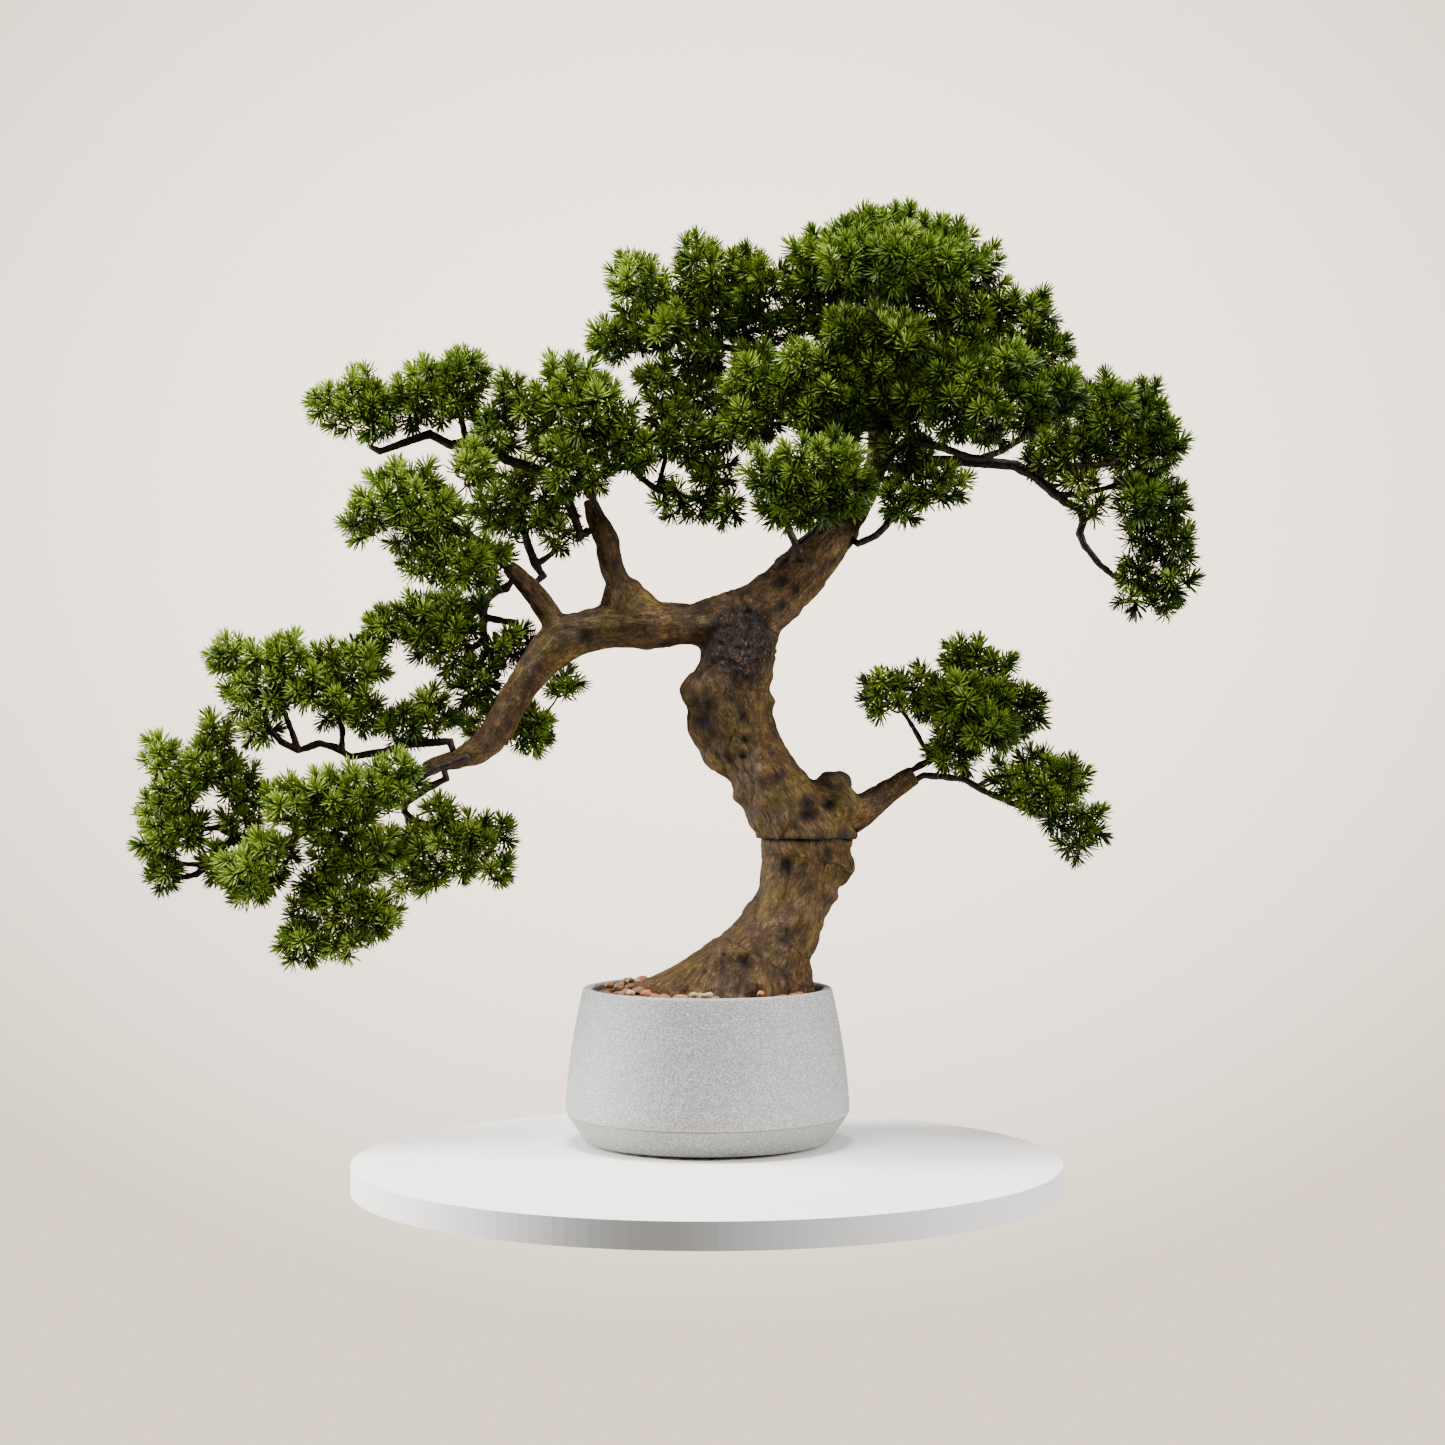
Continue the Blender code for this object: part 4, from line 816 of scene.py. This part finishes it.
def tuft_spots(spray, draw, spacing):
    """[(place, way out, depth)] for tufts in a spray's CAD solid of needles and in its bulges."""
    mesh = frame["nodes"][spray + "_needles"].data
    tree = BVHTree.FromPolygons([v.co for v in mesh.vertices], [p.vertices for p in mesh.polygons])
    low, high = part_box(spray + "_needles")
    bulges = [(Vector((x, y, z)) / 1000, radius / 1000) for x, y, z, radius in BULGES.get(spray, ())]
    for middle, radius in bulges:
        low = Vector(map(min, low, middle - Vector((radius, radius, radius))))
        high = Vector(map(max, high, middle + Vector((radius, radius, radius))))
    found = []
    for x in np.arange(low.x - proud, high.x + proud, grid):
        for y in np.arange(low.y - proud, high.y + proud, grid):
            for z in np.arange(low.z - proud, high.z + proud, grid):
                spot = Vector((x, y, z)) + Vector([draw.uniform(-0.4, 0.4) * grid for _ in range(3)])
                if abs(spot.y) > tuft_limit:
                    continue
                close, normal, _, far = tree.find_nearest(spot)
                depth = far if (spot - close).dot(normal) < 0 else -far
                out = (close - spot).normalized() * math.copysign(1, depth)
                for middle, radius in bulges:
                    if radius - (spot - middle).length > depth:
                        depth, out = radius - (spot - middle).length, (spot - middle).normalized()
                if -proud < depth < deep and wood_tree.find_nearest(spot)[3] > wood_gap:
                    found.append((draw.random(), spot, out, depth))
    found.sort(key=lambda entry: entry[0])
    kept = []
    for _, spot, out, depth in found:
        if all((spot - other[0]).length > spacing for other in kept):
            kept.append((spot, out, depth))
    return kept


def grow_twigs(name, stem_points, placed, draw):
    """Bowed twigs from the nearest wire or twig to the foot of every tuft, the nearest tuft first."""
    joints_at = [Vector(point) for point in stem_points[::3]]
    waiting = [(spot - way * 0.006, spot, way) for spot, way, _ in placed]
    nearest = []
    for base, _, _ in waiting:
        gaps = [(base - other).length for other in joints_at]
        best = min(range(len(gaps)), key=gaps.__getitem__)
        nearest.append([gaps[best], best])
    rods = bpy.data.curves.new(name, "CURVE")
    rods.dimensions = "3D"
    rods.bevel_depth = 0.00085
    rods.bevel_resolution = 0
    rods.use_fill_caps = True
    while waiting:
        pick = min(range(len(waiting)), key=lambda i: nearest[i][0])
        base, spot, way = waiting.pop(pick)
        start = joints_at[nearest.pop(pick)[1]]
        reach = (base - start).length
        bow = Vector((0, 0, -0.12 * reach)) + Vector([draw.uniform(-0.08, 0.08) * reach for _ in range(3)])
        bend = start.lerp(base, 0.5) + bow - way * 0.2 * reach
        line = []
        for step in range(6):
            t = step / 5
            line.append((1 - t) ** 2 * start + 2 * t * (1 - t) * bend + t * t * base)
        line.append(spot + way * 0.001)
        spline = rods.splines.new("POLY")
        spline.points.add(len(line) - 1)
        for number, (point, place) in enumerate(zip(spline.points, line)):
            point.co = (*place, 1)
            point.radius = 1.25 - 0.45 * number / (len(line) - 1)

        # A later twig may leave from this one, which counts as 2 mm further off than a wire.
        for new_joint in line[2:6]:
            joints_at.append(new_joint)
            for row, (other, _, _) in zip(nearest, waiting):
                gap = (other - new_joint).length + 0.002
                if gap < row[0]:
                    row[:] = [gap, len(joints_at) - 1]
    twigs = bpy.data.objects.new(name, rods)
    bpy.context.collection.objects.link(twigs)
    deselect()
    twigs.select_set(True)
    bpy.context.view_layer.objects.active = twigs
    bpy.ops.object.convert(target="MESH")
    return twigs


for spray in [swivel["child"] for swivel in frame["joints"]]:
    draw = random.Random(spray)
    wires = skin_of(spray + "_wires", [spray + "_stem"], 0.0011, 3)
    points, normals = points_of(wires.data), normals_of(wires.data)
    wrapping = 0.0007 + 0.0006 * noise_at(points, 150, 3.0) + 0.0003 * noise_at(points, 320, 9.0)
    points += normals * wrapping[:, None]
    wires.data.vertices.foreach_set("co", points.ravel())
    wires.data.update()
    spots = tuft_spots(spray, draw, 0.0114 if spray == "crown_top" else 0.0106)
    middle = sum((spot for spot, _, _ in spots), Vector()) / len(spots)
    placed = []
    for spot, out, depth in spots:
        loose = Vector([draw.gauss(0, 0.30) for _ in range(3)])
        outward = out * 0.65 + (spot - middle).normalized() * 0.35
        placed.append((spot, (outward + Vector((0, -0.12, 0.42)) + loose).normalized(), depth))
    grow_twigs(spray + "_twigs", points, placed, draw)
    wires.select_set(True)
    bpy.context.view_layer.objects.active = wires
    bpy.ops.object.join()
    dress(wires, dark_wrap)
    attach(wires, spray)
    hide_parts(spray + "_stem")

    # Painted light on each tuft: needles deep in a spray get painted shade; those further left, and those that face
    # up, forward and left towards the lamps, get painted light; some tone is random.
    copies, alongs, painted_lights = [], [], []
    for spot, way, depth in placed:
        made, faces, share = draw.choice(tufts)
        spin = Matrix.Rotation(draw.uniform(0, math.tau), 3, "Z")
        turn = np.array(way.to_track_quat("Z", "Y").to_matrix() @ spin)
        size = draw.uniform(0.86, 1.14)
        copies.append((made * size @ turn.T + np.array(spot), faces))
        alongs.append(share)
        lit = 0.46 - 0.32 * spot.x - 26 * max(depth, 0) + 0.30 * way.dot(Vector((-0.45, -0.45, 0.75)))
        lit += draw.gauss(0, 0.12)
        painted_lights.append(np.full(len(share), min(max(lit, 0.02), 1.0)))
    needles = assemble(spray + "_tufts", copies)
    carry(needles.data, "along", np.concatenate(alongs))
    carry(needles.data, "fresh", np.concatenate(painted_lights))
    dress(needles, green)
    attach(needles, spray)
    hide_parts(spray + "_needles")

# ---- The room --------------------------------------------------------------------------------------------------
# A pale round table top under the pot, walls all round that only the camera sees and that glow with painted light,
# brightest behind the tree and dimmer to the sides, the top and the bottom, and soft lamps: a window on the left
# with a low one at its sill, one by the far wall on the right, and one on the ceiling.

deselect()
bpy.ops.mesh.primitive_circle_add(vertices=192, radius=0.272, fill_type="NGON", location=(0.0, -0.085, 0))
table_top = bpy.context.object
table_top.name = table_top.data.name = "table_top"
edit(table_top)
bpy.ops.mesh.extrude_region_move(TRANSFORM_OT_translate={"value": (0, 0, -0.02)})
bpy.ops.mesh.select_all(action="SELECT")
bpy.ops.mesh.normals_make_consistent(inside=False)
leave()
finish_place(table_top)
white, place, wear = new_finish("matt_white")
wear(Base_Color=place.grain(3, 2, 0.5).ramp((0.3, (0.86, 0.83, 0.795)), (0.7, (0.89, 0.86, 0.825))),
     Roughness=0.55 + 0.1 * place.grain(40, 2, 0.5))
dress(table_top, white)

room = bpy.data.worlds.new("room")
bpy.context.scene.world = room
room.use_nodes = True
room.node_tree.nodes["Background"].inputs["Color"].default_value = (0.80, 0.78, 0.76, 1)
room.node_tree.nodes["Background"].inputs["Strength"].default_value = 0.24

# The walls are far behind everything, and neither light nor shade the tree.
deselect()
bpy.ops.mesh.primitive_uv_sphere_add(segments=64, ring_count=32, radius=6.0, location=(0, 0, 0.3))
walls = bpy.context.object
walls.name = walls.data.name = "walls"
finish_place(walls)
for sight in ("diffuse", "glossy", "transmission", "volume_scatter", "shadow"):
    setattr(walls, "visible_" + sight, False)
painted, place, wear = new_finish(
    "painted_light_walls", Base_Color=(0, 0, 0, 1), Roughness=1.0, Specular_IOR_Level=0.0, Emission_Strength=1.0
)
# The walls' painted light: brightest at the middle about a metre up, dimming towards the sides, the top and the
# bottom.
across = place.axis(0)
height = place.axis(2)
edge = abs(across).held(0.0, 2.4)
up = (height - 0.95) * 0.37
dim = (0.44 * edge * edge + 0.86 * up * up).held(0.0, 0.64) * 0.64
wear(Emission_Color=dim.tint((3.75, 3.17, 2.60), (0.52, 0.375, 0.265)))
dress(walls, painted)

for name, place, power, size in (
    ("window", (-2.25, 0.05, 1.1), 165, 0.9),
    ("window_sill", (-2.1, 0.45, 0.22), 75, 0.5),
    ("far_wall", (2.15, -0.65, 0.8), 95, 0.9),
    ("ceiling", (-0.15, -0.20, 2.4), 165, 0.9),
):
    bpy.ops.object.light_add(type="AREA", location=place)
    lamp = bpy.context.object
    lamp.name = name
    lamp.data.energy = power
    lamp.data.size = size
    lamp.rotation_euler = (Vector((0, 0, 0.35)) - Vector(place)).to_track_quat("-Z", "Y").to_euler()
